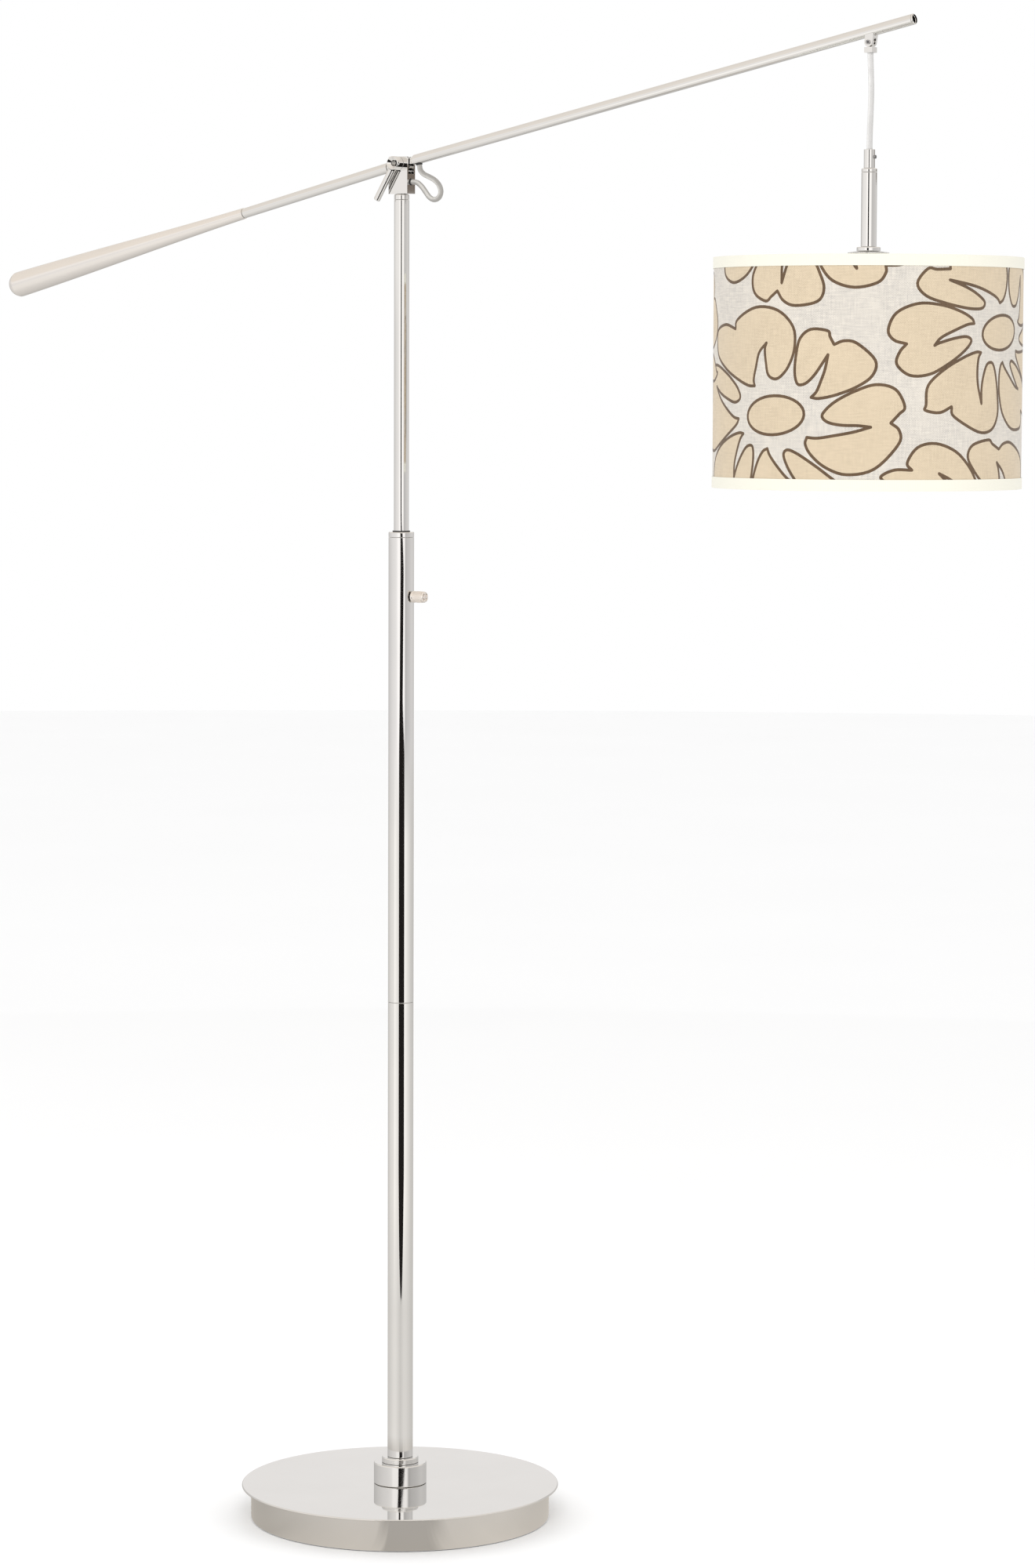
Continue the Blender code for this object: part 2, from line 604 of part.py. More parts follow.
def make_height_lock(look):
    """The threaded boss in the pole, and the knob with its screw and washer."""
    inner_flat = POLE_BORE * math.cos(math.pi / POLE_SIDES)
    boss_out = math.sqrt(inner_flat**2 - BOSS_RADIUS**2) - GAP
    boss = (BOSS_RADIUS, SCREW_RADIUS + RUNNING, MAST_RADIUS + 2 * RUNNING, boss_out)
    at_axis = (0.0, 0.0, KNOB_Z)
    tube("lock_boss", *boss, SMALL_SIDES, look["brass"], at=at_axis, turn=ALONG_X)
    knob_axis = pivot("lock_knob_axis", at_axis)
    washer_in = POLE_RADIUS + GAP
    washer_out = washer_in + KNOB_WASHER_THICKNESS
    washer = (KNOB_WASHER_RADIUS, SCREW_RADIUS + RUNNING, washer_in, washer_out)
    turn = {"parent": knob_axis, "turn": ALONG_X}
    tube("lock_knob_washer", *washer, SMALL_SIDES, look["black_plastic"], **turn)
    knob_in = washer_out + GAP
    screw_out = knob_in + SCREW_GRIP
    screw = (SCREW_RADIUS, MAST_RADIUS + RUNNING, screw_out)
    rod("lock_screw", *screw, SMALL_SIDES, look["steel"], **turn)
    bore = SCREW_RADIUS + GAP
    knob_out = knob_in + KNOB_LENGTH
    outline = [
        (bore, knob_in),
        (KNOB_RADIUS - FINE_EDGE, knob_in),
        (KNOB_RADIUS, knob_in + FINE_EDGE),
        (KNOB_RADIUS, knob_out - KNOB_EDGE),
        (KNOB_RADIUS - KNOB_EDGE, knob_out),
        (0.0, knob_out),
        (0.0, screw_out + GAP),
        (bore, screw_out + GAP),
    ]

    def flute(angle):
        """How far the grip reaches at an angle, as a share of its radius."""
        depth = KNOB_FLUTE_DEPTH / KNOB_RADIUS
        return 1 - depth * (1 - math.cos(KNOB_FLUTES * angle)) / 2

    mesh = turned_mesh("lock_knob", outline, KNOB_FLUTES * 4, flute)
    add("lock_knob", mesh, look["chrome"], **turn)


# ---------------------------------------------------------------- mast
def make_mast(look):
    """The glide in the pole, and the mast that slides and turns: tube, foot and ferrule."""
    bore = MAST_RADIUS + RUNNING
    glide_low = MAST_FOOT_Z + GAP
    glide = (POLE_BORE - RUNNING, bore, glide_low, glide_low + GLIDE_LENGTH)
    glide_axis = pivot("height_axis", (0.0, 0.0, 0.0))
    tube("glide_bush", *glide, POLE_SIDES, look["nylon"], parent=glide_axis)
    mast_axis = pivot("mast_axis", (0.0, 0.0, 0.0), glide_axis)
    mast = (MAST_RADIUS, MAST_BORE, MAST_FOOT_Z, FERRULE_Z - GAP)
    tube("mast_tube", *mast, POLE_SIDES, look["chrome"], parent=mast_axis)
    collar_low = glide_low + GLIDE_LENGTH + GAP
    collar = (MAST_FLANGE_RADIUS, MAST_RADIUS + GAP, collar_low, collar_low + MAST_FLANGE_THICKNESS)
    tube("mast_stop_ring", *collar, POLE_SIDES, look["steel"], parent=mast_axis)
    spigot = MAST_BORE - GAP
    core = spigot - MAST_WALL
    flange_top = MAST_FOOT_Z - GAP
    outline = [
        (core, flange_top - MAST_FLANGE_THICKNESS),
        (MAST_FLANGE_RADIUS, flange_top - MAST_FLANGE_THICKNESS),
        (MAST_FLANGE_RADIUS, flange_top),
        (spigot, flange_top),
        (spigot, MAST_FOOT_Z + GLIDE_LENGTH),
        (core, MAST_FOOT_Z + GLIDE_LENGTH),
    ]
    turned("mast_foot", outline, POLE_SIDES, look["steel"], parent=mast_axis)
    top = HEAD_BASE_Z - GAP
    outline = [
        (core, FERRULE_Z - SPIGOT_LENGTH),
        (spigot, FERRULE_Z - SPIGOT_LENGTH),
        (spigot, FERRULE_Z),
        (MAST_RADIUS, FERRULE_Z),
        (MAST_RADIUS, top - FERRULE_CHAMFER),
        (MAST_RADIUS - FERRULE_CHAMFER, top),
        (core, top),
    ]
    turned("mast_ferrule", outline, POLE_SIDES, look["chrome"], parent=mast_axis)
    return mast_axis


def make_head(look, mast_axis):
    """The fork block on the mast, its pivot bolt, friction washers and cord bush."""
    half, depth = HEAD_WIDTH / 2, HEAD_DEPTH / 2
    top = PIVOT_Z + HEAD_RISE
    outline = [
        (-half, HEAD_BASE_Z),
        (half, HEAD_BASE_Z),
        (half, top - FINE_EDGE),
        (half - FINE_EDGE, top),
        (-half + FINE_EDGE, top),
        (-half, top - FINE_EDGE),
    ]
    head = prism("head_block", outline, -depth, depth, look["chrome"], parent=mast_axis)
    # The slot's floor is level under the bolt and falls away on both sides, for the boom's tilt.
    past = HEAD_DEPTH / 4
    floor, edge = PIVOT_Z - SLOT_FLOOR, PIVOT_Z - SLOT_FLOOR - SLOT_EDGE_DROP
    level = KNUCKLE_RADIUS * 0.5
    fall = (edge - floor) / (half - level)
    outline = [
        (-half - past, edge + fall * past),
        (-level, floor),
        (level, floor),
        (half + past, edge + fall * past),
        (half + past, top + past),
        (-half - past, top + past),
    ]
    place = {"parent": mast_axis}
    cut(head, prism("head_slot", outline, -SLOT_HALF, SLOT_HALF, None, **place))
    across = {"parent": mast_axis, "at": (0.0, 0.0, PIVOT_Z), "turn": ALONG_Y}
    bolt_hole = BOLT_RADIUS + RUNNING
    cut(head, rod("bolt_hole", bolt_hole, -depth * 2, depth * 2, ROD_SIDES, None, **across))
    way = MAST_BORE - GAP - MAST_WALL
    roof = HEAD_CORD_Z + CORD_RADIUS
    well = rod("cord_well", way, HEAD_BASE_Z - past, roof, ROD_SIDES, None, **place)
    cut(head, well)
    side = {"parent": mast_axis, "at": (0.0, 0.0, HEAD_CORD_Z), "turn": ALONG_X}
    bush = CORD_RADIUS + BUSH_WALL
    cut(head, rod("cord_side_hole", bush + GAP, 0.0, half + past, ROD_SIDES, None, **side))
    bush_size = (bush, CORD_RADIUS - BUSH_LIP, half - HEAD_BUSH_DEPTH, half + BUSH_PROUD)
    tube("head_cord_bush", *bush_size, ROD_SIDES, look["black_plastic"], **side)
    inner = KNUCKLE_THICKNESS / 2 + GAP
    for name, low in (("back", inner), ("front", -inner - WASHER_THICKNESS)):
        size = (WASHER_RADIUS, bolt_hole, low, low + WASHER_THICKNESS)
        tube(f"friction_washer_{name}", *size, ROD_SIDES, look["nylon"], **across)
    back = depth + GAP
    tip = HUB_BACK_Y - HUB_LENGTH + HUB_FACE + GAP
    outline = [
        (0.0, tip),
        (BOLT_RADIUS, tip),
        (BOLT_RADIUS, back),
        (BOLT_HEAD_RADIUS, back),
        (BOLT_HEAD_RADIUS, back + BOLT_HEAD_HEIGHT * 0.7),
        (BOLT_HEAD_RADIUS * 0.75, back + BOLT_HEAD_HEIGHT),
        (0.0, back + BOLT_HEAD_HEIGHT),
    ]
    turned("pivot_bolt", outline, ROD_SIDES, look["chrome"], **across)


def make_lever(look, mast_axis):
    """The clamp lever: a round nut on the pivot bolt and the bar screwed into it."""
    lever_axis = pivot("clamp_lever_axis", (0.0, 0.0, PIVOT_Z), mast_axis)
    front = HUB_BACK_Y - HUB_LENGTH
    bore = BOLT_RADIUS + RUNNING
    outline = [
        (bore, HUB_BACK_Y),
        (HUB_RADIUS, HUB_BACK_Y),
        (HUB_RADIUS, front + EDGE),
        (HUB_RADIUS - EDGE, front),
        (0.0, front),
        (0.0, front + HUB_FACE),
        (bore, front + HUB_FACE),
    ]
    turned("lever_hub", outline, ROD_SIDES, look["chrome"], parent=lever_axis, turn=ALONG_Y)
    middle = HUB_BACK_Y - HUB_LENGTH / 2
    start = HUB_RADIUS + GAP
    outline = [
        (0.0, start),
        (LEVER_RADIUS, start),
        (LEVER_RADIUS, LEVER_REACH - FINE_EDGE),
        (LEVER_RADIUS - FINE_EDGE, LEVER_REACH),
        (0.0, LEVER_REACH),
    ]
    down = (0.0, math.radians(180) + LEVER_ANGLE, 0.0)
    place = {"parent": lever_axis, "at": (0.0, middle, 0.0), "turn": down}
    turned("lever_bar", outline, ROD_SIDES, look["chrome"], **place)


# ---------------------------------------------------------------- boom
def handle_radius(share):
    """The handle's radius at a share of the way from its seam to its full end."""
    ease = 0.5 * share + 0.5 * share**2 * (3 - 2 * share)
    return HANDLE_ROOT_RADIUS + (HANDLE_RADIUS - HANDLE_ROOT_RADIUS) * ease


def make_boom(look, mast_axis):
    """The knuckle on the bolt, the two boom tubes, the weighted handle and the tip cap."""
    arm_axis = pivot("arm_axis", ARM_PIVOT, mast_axis)
    front = {"parent": arm_axis, "turn": ALONG_FRONT}
    rear = {"parent": arm_axis, "turn": ALONG_REAR}
    thick = KNUCKLE_THICKNESS / 2
    across = {"parent": arm_axis, "turn": ALONG_Y}
    knuckle = rod("knuckle", KNUCKLE_RADIUS, -thick, thick, ROD_SIDES, look["steel"], **across)
    neck = BOOM_START - GAP
    square = (KNUCKLE_THICKNESS * 0.98, KNUCKLE_THICKNESS * 0.98, neck)
    spigot = BOOM_BORE - GAP
    for name, place in (("front", front), ("rear", rear)):
        weld(knuckle, block(f"{name}_neck", square, None, centre=(0, 0, neck / 2), **place))
        span = (neck - 2 * MM, BOOM_START + KNUCKLE_SPIGOT)
        weld(knuckle, rod(f"{name}_spigot", spigot, *span, SMALL_SIDES, None, **place))
    bolt_room = BOLT_RADIUS + RUNNING
    cut(knuckle, rod("knuckle_bore", bolt_room, -thick * 2, thick * 2, ROD_SIDES, None, **across))
    ring = (BOOM_RADIUS, BOOM_BORE)
    boom = tube("boom_front_tube", *ring, BOOM_START, BOOM_FRONT_END, ROD_SIDES, look["chrome"], **front)
    # The cord leaves through a bush in the front tube's underside and runs inside the front spigot.
    way = (CORD_RADIUS, CORD_EXIT_ALONG, BOOM_START + KNUCKLE_SPIGOT * 2)
    cut(knuckle, rod("spigot_way", *way, SMALL_SIDES, None, **front))
    bush = CORD_RADIUS + BUSH_WALL
    exit_place = {
        "parent": arm_axis,
        "at": FRONT_AXIS * CORD_EXIT_ALONG,
        "turn": (0.0, math.radians(180) - FRONT_RISE, 0.0),
    }
    hole = rod("cord_exit_hole", bush + GAP, 0.0, BOOM_RADIUS * 2, SMALL_SIDES, None, **exit_place)
    cut(knuckle, hole)
    cut(boom, hole)
    size = (bush, CORD_RADIUS - BUSH_LIP, BOOM_RADIUS - BOOM_BUSH_DEPTH, BOOM_RADIUS + BUSH_PROUD)
    tube("boom_cord_bush", *size, SMALL_SIDES, look["black_plastic"], **exit_place)
    end = HANDLE_START - GAP
    tube("boom_rear_tube", *ring, BOOM_START, end, ROD_SIDES, look["chrome"], **rear)
    handle = [(0.0, end - HANDLE_SPIGOT), (spigot, end - HANDLE_SPIGOT), (spigot, HANDLE_START)]
    full = HANDLE_END - HANDLE_RADIUS
    for step in range(13):
        share = step / 12
        along = HANDLE_START + (full - HANDLE_START) * share
        handle.append((handle_radius(share), along))
    for step in range(1, 6):
        angle = math.radians(90) * step / 6
        handle.append((HANDLE_RADIUS * math.cos(angle), full + HANDLE_RADIUS * math.sin(angle)))
    handle.append((0.0, HANDLE_END))
    turned("handle_weight", handle, ROD_SIDES, look["chrome"], **rear)
    low = BOOM_FRONT_END + GAP
    cap = [
        (0.0, BOOM_FRONT_END - TIP_PLUG_LENGTH),
        (spigot, BOOM_FRONT_END - TIP_PLUG_LENGTH),
        (spigot, low),
        (BOOM_RADIUS, low),
        (BOOM_RADIUS, low + TIP_CAP_LENGTH * 0.6),
        (BOOM_RADIUS - TIP_CAP_LENGTH * 0.4, low + TIP_CAP_LENGTH),
        (0.0, low + TIP_CAP_LENGTH),
    ]
    turned("boom_tip_cap", cap, ROD_SIDES, look["chrome"], **front)
    return arm_axis


def make_hanger(look, arm_axis):
    """The fork under the boom, its pin and the swinging tongue that grips the pendant's cord."""
    fork_place = {
        "parent": arm_axis,
        "at": FRONT_AXIS * HANGER_ALONG,
        "turn": (0.0, FORK_LEAN, 0.0),
    }
    half = FORK_WIDTH / 2
    round_end = [(half, -BOOM_RADIUS / 3), (-half, -BOOM_RADIUS / 3)]
    for step in range(9):
        angle = math.radians(180) * step / 8
        round_end.append((-half * math.cos(angle), -FORK_DROP - half * math.sin(angle)))
    depth = FORK_DEPTH / 2
    fork = prism("hanger_fork", round_end, -depth, depth, look["chrome"], **fork_place)
    slot_half = TONGUE_THICKNESS / 2 + RUNNING + SLACK
    slot = (FORK_WIDTH * 2, slot_half * 2, FORK_DROP)
    low = -FORK_DROP + TONGUE_RADIUS + 1 * MM - slot[2] / 2
    cut(fork, block("fork_slot", slot, None, centre=(0, 0, low), **fork_place))
    along = {"parent": arm_axis, "turn": ALONG_FRONT}
    saddle = (BOOM_RADIUS + GAP, HANGER_ALONG - FORK_WIDTH * 2, HANGER_ALONG + FORK_WIDTH * 2)
    cut(fork, rod("fork_saddle", *saddle, ROD_SIDES, None, **along))
    swing_axis = pivot("hanger_axis", SWING_PIVOT - ARM_PIVOT, arm_axis)
    across = {"parent": swing_axis, "turn": ALONG_Y}
    hole = PIN_RADIUS + RUNNING
    cut(fork, rod("fork_pin_hole", hole, -depth * 2, depth * 2, SMALL_SIDES, None, **across))
    front = -depth - GAP
    outline = [
        (0.0, front - PIN_HEAD_HEIGHT),
        (PIN_HEAD_RADIUS, front - PIN_HEAD_HEIGHT),
        (PIN_HEAD_RADIUS, front),
        (PIN_RADIUS, front),
        (PIN_RADIUS, depth),
        (0.0, depth),
    ]
    turned("hanger_pin", outline, SMALL_SIDES, look["steel"], **across)
    thick = TONGUE_THICKNESS / 2
    place = {"parent": swing_axis}
    tongue = rod("hanger_tongue", TONGUE_RADIUS, -thick, thick, SMALL_SIDES, look["chrome"], **across)
    neck = (TONGUE_RADIUS * 1.7, TONGUE_THICKNESS * 0.98, GRIP_TOP + 0.5 * MM)
    weld(tongue, block("tongue_neck", neck, None, centre=(0, 0, -neck[2] / 2), **place))
    grip = (FORK_WIDTH, FORK_DEPTH, GRIP_LENGTH)
    middle = (0, 0, -GRIP_TOP - GRIP_LENGTH / 2)
    weld(tongue, block("tongue_grip", grip, None, centre=middle, **place))
    cut(tongue, rod("tongue_bore", hole, -depth * 2, depth * 2, SMALL_SIDES, None, **across))
    mouth = (MOUTH_RADIUS, -GRIP_TOP - GRIP_LENGTH * 2, -GRIP_TOP - GRIP_ROOF)
    cut(tongue, rod("tongue_mouth", *mouth, ROD_SIDES, None, **place))
    return pivot("sway_axis", SWAY_PIVOT - SWING_PIVOT, swing_axis)


# ---------------------------------------------------------------- pendant
def make_stem(look, place):
    """The sleeve with its screw, the stem with its ring and seat, and the dished washer."""
    bore = PENDANT_CORD_RADIUS
    low = STEM_TOP_Z + GAP
    sleeve = tube("cord_sleeve", SLEEVE_RADIUS, bore, low, SLEEVE_TOP_Z, ROD_SIDES, look["chrome"], **place)
    screw_z = (low + SLEEVE_TOP_Z) / 2 + SLEEVE_SCREW_RISE
    screw_at = place["at"] + Vector((0.0, 0.0, screw_z))
    side = {"parent": place["parent"], "at": screw_at, "turn": ALONG_X}
    hole = SLEEVE_SCREW_RADIUS + GAP
    cut(sleeve, rod("sleeve_screw_hole", hole, 0.0, SLEEVE_RADIUS * 2, SMALL_SIDES, None, **side))
    span = (bore + GAP, SLEEVE_RADIUS + SLEEVE_SCREW_PROUD)
    rod("sleeve_screw", SLEEVE_SCREW_RADIUS, *span, SMALL_SIDES, look["steel"], **side)
    ring_low = STEM_TOP_Z - STEM_RING_HEIGHT
    outline = [
        (bore, ring_low),
        (STEM_RADIUS, ring_low),
        (STEM_RADIUS, STEM_TOP_Z - FINE_EDGE),
        (STEM_RADIUS - FINE_EDGE, STEM_TOP_Z),
        (bore, STEM_TOP_Z),
    ]
    turned("stem_ring", outline, POLE_SIDES, look["chrome"], **place)
    stem = (STEM_RADIUS, STEM_RADIUS - STEM_WALL, STEM_FOOT_Z, ring_low - GAP)
    tube("stem_tube", *stem, POLE_SIDES, look["chrome"], **place)
    seat_top = STEM_FOOT_Z - GAP
    outline = [
        (NIPPLE_TO_PIECE, SEAT_BOTTOM_Z),
        (SEAT_RADIUS, SEAT_BOTTOM_Z),
        (SEAT_RADIUS, seat_top - FINE_EDGE),
        (SEAT_RADIUS - FINE_EDGE, seat_top),
        (NIPPLE_TO_PIECE, seat_top),
    ]
    turned("stem_seat", outline, POLE_SIDES, look["chrome"], **place)
    rim = DISH_TOP_Z - DISH_SAG
    outline = [
        (NIPPLE_TO_PIECE, DISH_TOP_Z - DISH_THICKNESS),
        (SEAT_RADIUS, DISH_TOP_Z - DISH_THICKNESS),
        (DISH_RADIUS, rim - DISH_THICKNESS * 0.6),
        (DISH_RADIUS, rim),
        (SEAT_RADIUS, DISH_TOP_Z),
        (NIPPLE_TO_PIECE, DISH_TOP_Z),
    ]
    turned("shade_washer", outline, POLE_SIDES, look["chrome"], **place)
    nipple_low = SOCKET_TOP_Z - SOCKET_WALL - PENDANT_NIPPLE_TAIL
    nipple = (PENDANT_NIPPLE_RADIUS, PENDANT_NIPPLE_BORE, nipple_low, STEM_FOOT_Z + PENDANT_NIPPLE_GRIP)
    tube("pendant_nipple", *nipple, SMALL_SIDES, look["steel"], **place)


def wire_ring(name, height, look, place):
    """A round wire hoop in the shade's edge."""
    outline = []
    for side in range(WIRE_SIDES):
        angle = 2 * math.pi * side / WIRE_SIDES
        reach = WIRE_RING_RADIUS + WIRE_RADIUS * math.cos(angle)
        outline.append((reach, height + WIRE_RADIUS * math.sin(angle)))
    return turned(name, outline, SHADE_SIDES, look, **place)


def make_shade(look, place):
    """The spider with its hoop, the lower hoop, the printed drum and its two trims."""
    hub = (SPIDER_HUB_RADIUS, NIPPLE_TO_PIECE, SPIDER_BOTTOM_Z, SPIDER_TOP_Z)
    spider = tube("shade_spider", *hub, POLE_SIDES, look["white_wire"], **place)
    hoop_z = SHADE_TOP_Z - WIRE_INSET
    arm_z = (SPIDER_BOTTOM_Z + SPIDER_TOP_Z) / 2
    span = WIRE_RING_RADIUS - SPIDER_HUB_RADIUS
    dip = math.atan2(arm_z - hoop_z, span)
    for arm in range(SPIDER_ARMS):
        way = 2 * math.pi * (arm + 0.5) / SPIDER_ARMS
        start = Vector((math.cos(way), math.sin(way), 0.0)) * (SPIDER_HUB_RADIUS - 2 * MM)
        at = place["at"] + start + Vector((0.0, 0.0, arm_z))
        turn = (0.0, math.radians(90) + dip, way)
        reach = math.hypot(span, arm_z - hoop_z) + 2 * MM
        bar = (WIRE_RADIUS * 1.1, 0.0, reach, WIRE_SIDES, None)
        weld(spider, rod(f"spider_arm_{arm + 1}", *bar, parent=place["parent"], at=at, turn=turn))
    weld(spider, wire_ring("spider_hoop", hoop_z, None, place))
    wire_ring("shade_lower_wire", SHADE_BOTTOM_Z + WIRE_INSET, look["white_wire"], place)
    edge = TRIM_THICKNESS + GAP
    drum = (FABRIC_RADIUS, FABRIC_BORE, SHADE_BOTTOM_Z + edge, SHADE_TOP_Z - edge)
    tube("shade_drum", *drum, SHADE_SIDES, look["printed_linen"], **place)
    for name, rim, inward in (("top", SHADE_TOP_Z, -1), ("bottom", SHADE_BOTTOM_Z, 1)):
        outline = [
            (SHADE_RADIUS, rim),
            (SHADE_RADIUS, rim + inward * TRIM_WIDTH),
            (SHADE_RADIUS - TRIM_THICKNESS, rim + inward * TRIM_WIDTH),
            (SHADE_RADIUS - TRIM_THICKNESS, rim + inward * TRIM_THICKNESS),
            (TRIM_BORE + TRIM_THICKNESS, rim + inward * TRIM_THICKNESS),
            (TRIM_BORE + TRIM_THICKNESS, rim + inward * TRIM_TURN_IN),
            (TRIM_BORE, rim + inward * TRIM_TURN_IN),
            (TRIM_BORE, rim),
        ]
        turned(f"shade_trim_{name}", outline, SHADE_SIDES, look["cream_trim"], **place)


def make_lamp_holder(look, place):
    """The socket with its insulator, and the bulb with its screw cap."""
    roof = SOCKET_TOP_Z - SOCKET_WALL
    inner = SOCKET_RADIUS - SOCKET_WALL
    outline = [
        (NIPPLE_TO_PIECE, roof),
        (inner, roof),
        (inner, SOCKET_BOTTOM_Z),
        (SOCKET_RADIUS, SOCKET_BOTTOM_Z),
        (SOCKET_RADIUS, SOCKET_TOP_Z - 3 * MM),
        (SOCKET_RADIUS - 3 * MM, SOCKET_TOP_Z),
        (NIPPLE_TO_PIECE, SOCKET_TOP_Z),
    ]
    turned("socket_shell", outline, POLE_SIDES, look["black_plastic"], **place)
    liner = inner - GAP
    cap_room = LAMP_CAP_RADIUS + GAP
    ceiling = INSULATOR_TOP_Z - INSULATOR_ROOF
    outline = [
        (0.0, INSULATOR_TOP_Z),
        (liner, INSULATOR_TOP_Z),
        (liner, LAMP_CAP_LOW_Z),
        (cap_room, LAMP_CAP_LOW_Z),
        (cap_room, ceiling),
        (0.0, ceiling),
    ]
    turned("socket_insulator", outline, POLE_SIDES, look["nylon"], **place)
    outline = [
        (0.0, LAMP_CAP_TOP_Z),
        (LAMP_CAP_RADIUS * 0.45, LAMP_CAP_TOP_Z),
        (LAMP_CAP_RADIUS, LAMP_CAP_TOP_Z - 5 * MM),
        (LAMP_CAP_RADIUS, LAMP_CAP_LOW_Z),
        (0.0, LAMP_CAP_LOW_Z),
    ]
    turned("lamp_cap", outline, POLE_SIDES, look["brass"], **place)
    glass_top = LAMP_CAP_LOW_Z - GAP
    globe_z = glass_top - BULB_LENGTH + BULB_RADIUS
    outline = [(0.0, glass_top), (LAMP_CAP_RADIUS, glass_top), (LAMP_CAP_RADIUS, glass_top - 6 * MM)]
    for step in range(2, 10):
        angle = math.radians(72) - math.radians(162) * step / 10
        outline.append((BULB_RADIUS * math.cos(angle), globe_z + BULB_RADIUS * math.sin(angle)))
    outline.append((0.0, globe_z - BULB_RADIUS))
    turned("bulb_glass", outline, POLE_SIDES, look["opal_glass"], **place)


def main():
    """Makes every piece."""
    for item in list(bpy.data.objects):
        bpy.data.objects.remove(item)
    look = all_finishes()
    make_base(look)
    make_pole_foot(look)
    make_lower_pole(look)
    make_height_lock(look)
    mast_axis = make_mast(look)
    make_head(look, mast_axis)
    make_lever(look, mast_axis)
    arm_axis = make_boom(look, mast_axis)
    loop = [(x * MM, PIVOT_Z + z * MM) for x, z in LOOP_ROUTE]
    loop_look = (CORD_RADIUS, CORD_RADIUS * 1.2, look["clear_cord"])
    cord("cord_loop", loop, *loop_look, mast_axis, Vector((0.0, 0.0, 0.0)))
    sway_axis = make_hanger(look, arm_axis)
    drop_look = (PENDANT_CORD_RADIUS, PENDANT_CORD_RADIUS * 3, look["clear_cord"])
    cord("pendant_cord", PENDANT_CORD_ROUTE, *drop_look, sway_axis, SWAY_PIVOT)
    place = {"parent": sway_axis, "at": Vector((0.0, 0.0, -SWAY_PIVOT.z))}
    make_stem(look, place)
    make_shade(look, place)
    make_lamp_holder(look, place)


main()
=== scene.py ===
"""Looks of the adjustable arm floor lamp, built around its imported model.

Each sub-assembly is a class that reads its place from the frame, makes finer pieces in place of the plain
solids and dresses them. Lengths are metres, +Z is up, and the boom rises along +X.
"""

import json
import logging
import math
from dataclasses import dataclass
from enum import Enum

import bmesh
import bpy
import numpy as np
from mathutils import Matrix, Vector, geometry


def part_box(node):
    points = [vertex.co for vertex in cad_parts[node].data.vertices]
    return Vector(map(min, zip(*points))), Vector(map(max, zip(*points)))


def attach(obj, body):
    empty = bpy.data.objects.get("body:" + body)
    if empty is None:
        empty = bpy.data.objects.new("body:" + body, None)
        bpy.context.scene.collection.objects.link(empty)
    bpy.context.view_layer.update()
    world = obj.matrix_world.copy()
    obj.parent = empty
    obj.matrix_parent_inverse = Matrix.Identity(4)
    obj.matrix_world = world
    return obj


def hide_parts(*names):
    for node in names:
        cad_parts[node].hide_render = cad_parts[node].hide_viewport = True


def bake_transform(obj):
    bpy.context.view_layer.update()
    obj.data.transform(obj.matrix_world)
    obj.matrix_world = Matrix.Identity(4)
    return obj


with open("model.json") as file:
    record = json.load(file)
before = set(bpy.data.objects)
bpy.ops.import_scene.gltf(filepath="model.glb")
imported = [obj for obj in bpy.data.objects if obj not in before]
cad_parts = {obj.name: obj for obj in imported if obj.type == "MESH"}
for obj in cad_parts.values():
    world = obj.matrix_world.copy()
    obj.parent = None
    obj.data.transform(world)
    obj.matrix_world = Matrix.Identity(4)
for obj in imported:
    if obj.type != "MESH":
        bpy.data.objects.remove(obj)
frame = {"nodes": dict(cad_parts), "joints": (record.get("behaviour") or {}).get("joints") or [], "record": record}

LOG = logging.getLogger("lamp")
MM = 0.001
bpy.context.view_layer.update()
NODES = frame["nodes"]
JOINTS = {joint["name"]: joint for joint in frame["joints"]}
Colour = tuple[float, float, float]
Point = tuple[float, float]
Point3 = tuple[float, float, float]

# A colour Mix node's factor, first and second inputs, and its result.
MIX_INPUTS = (0, 6, 7)
MIX_RESULT = 2


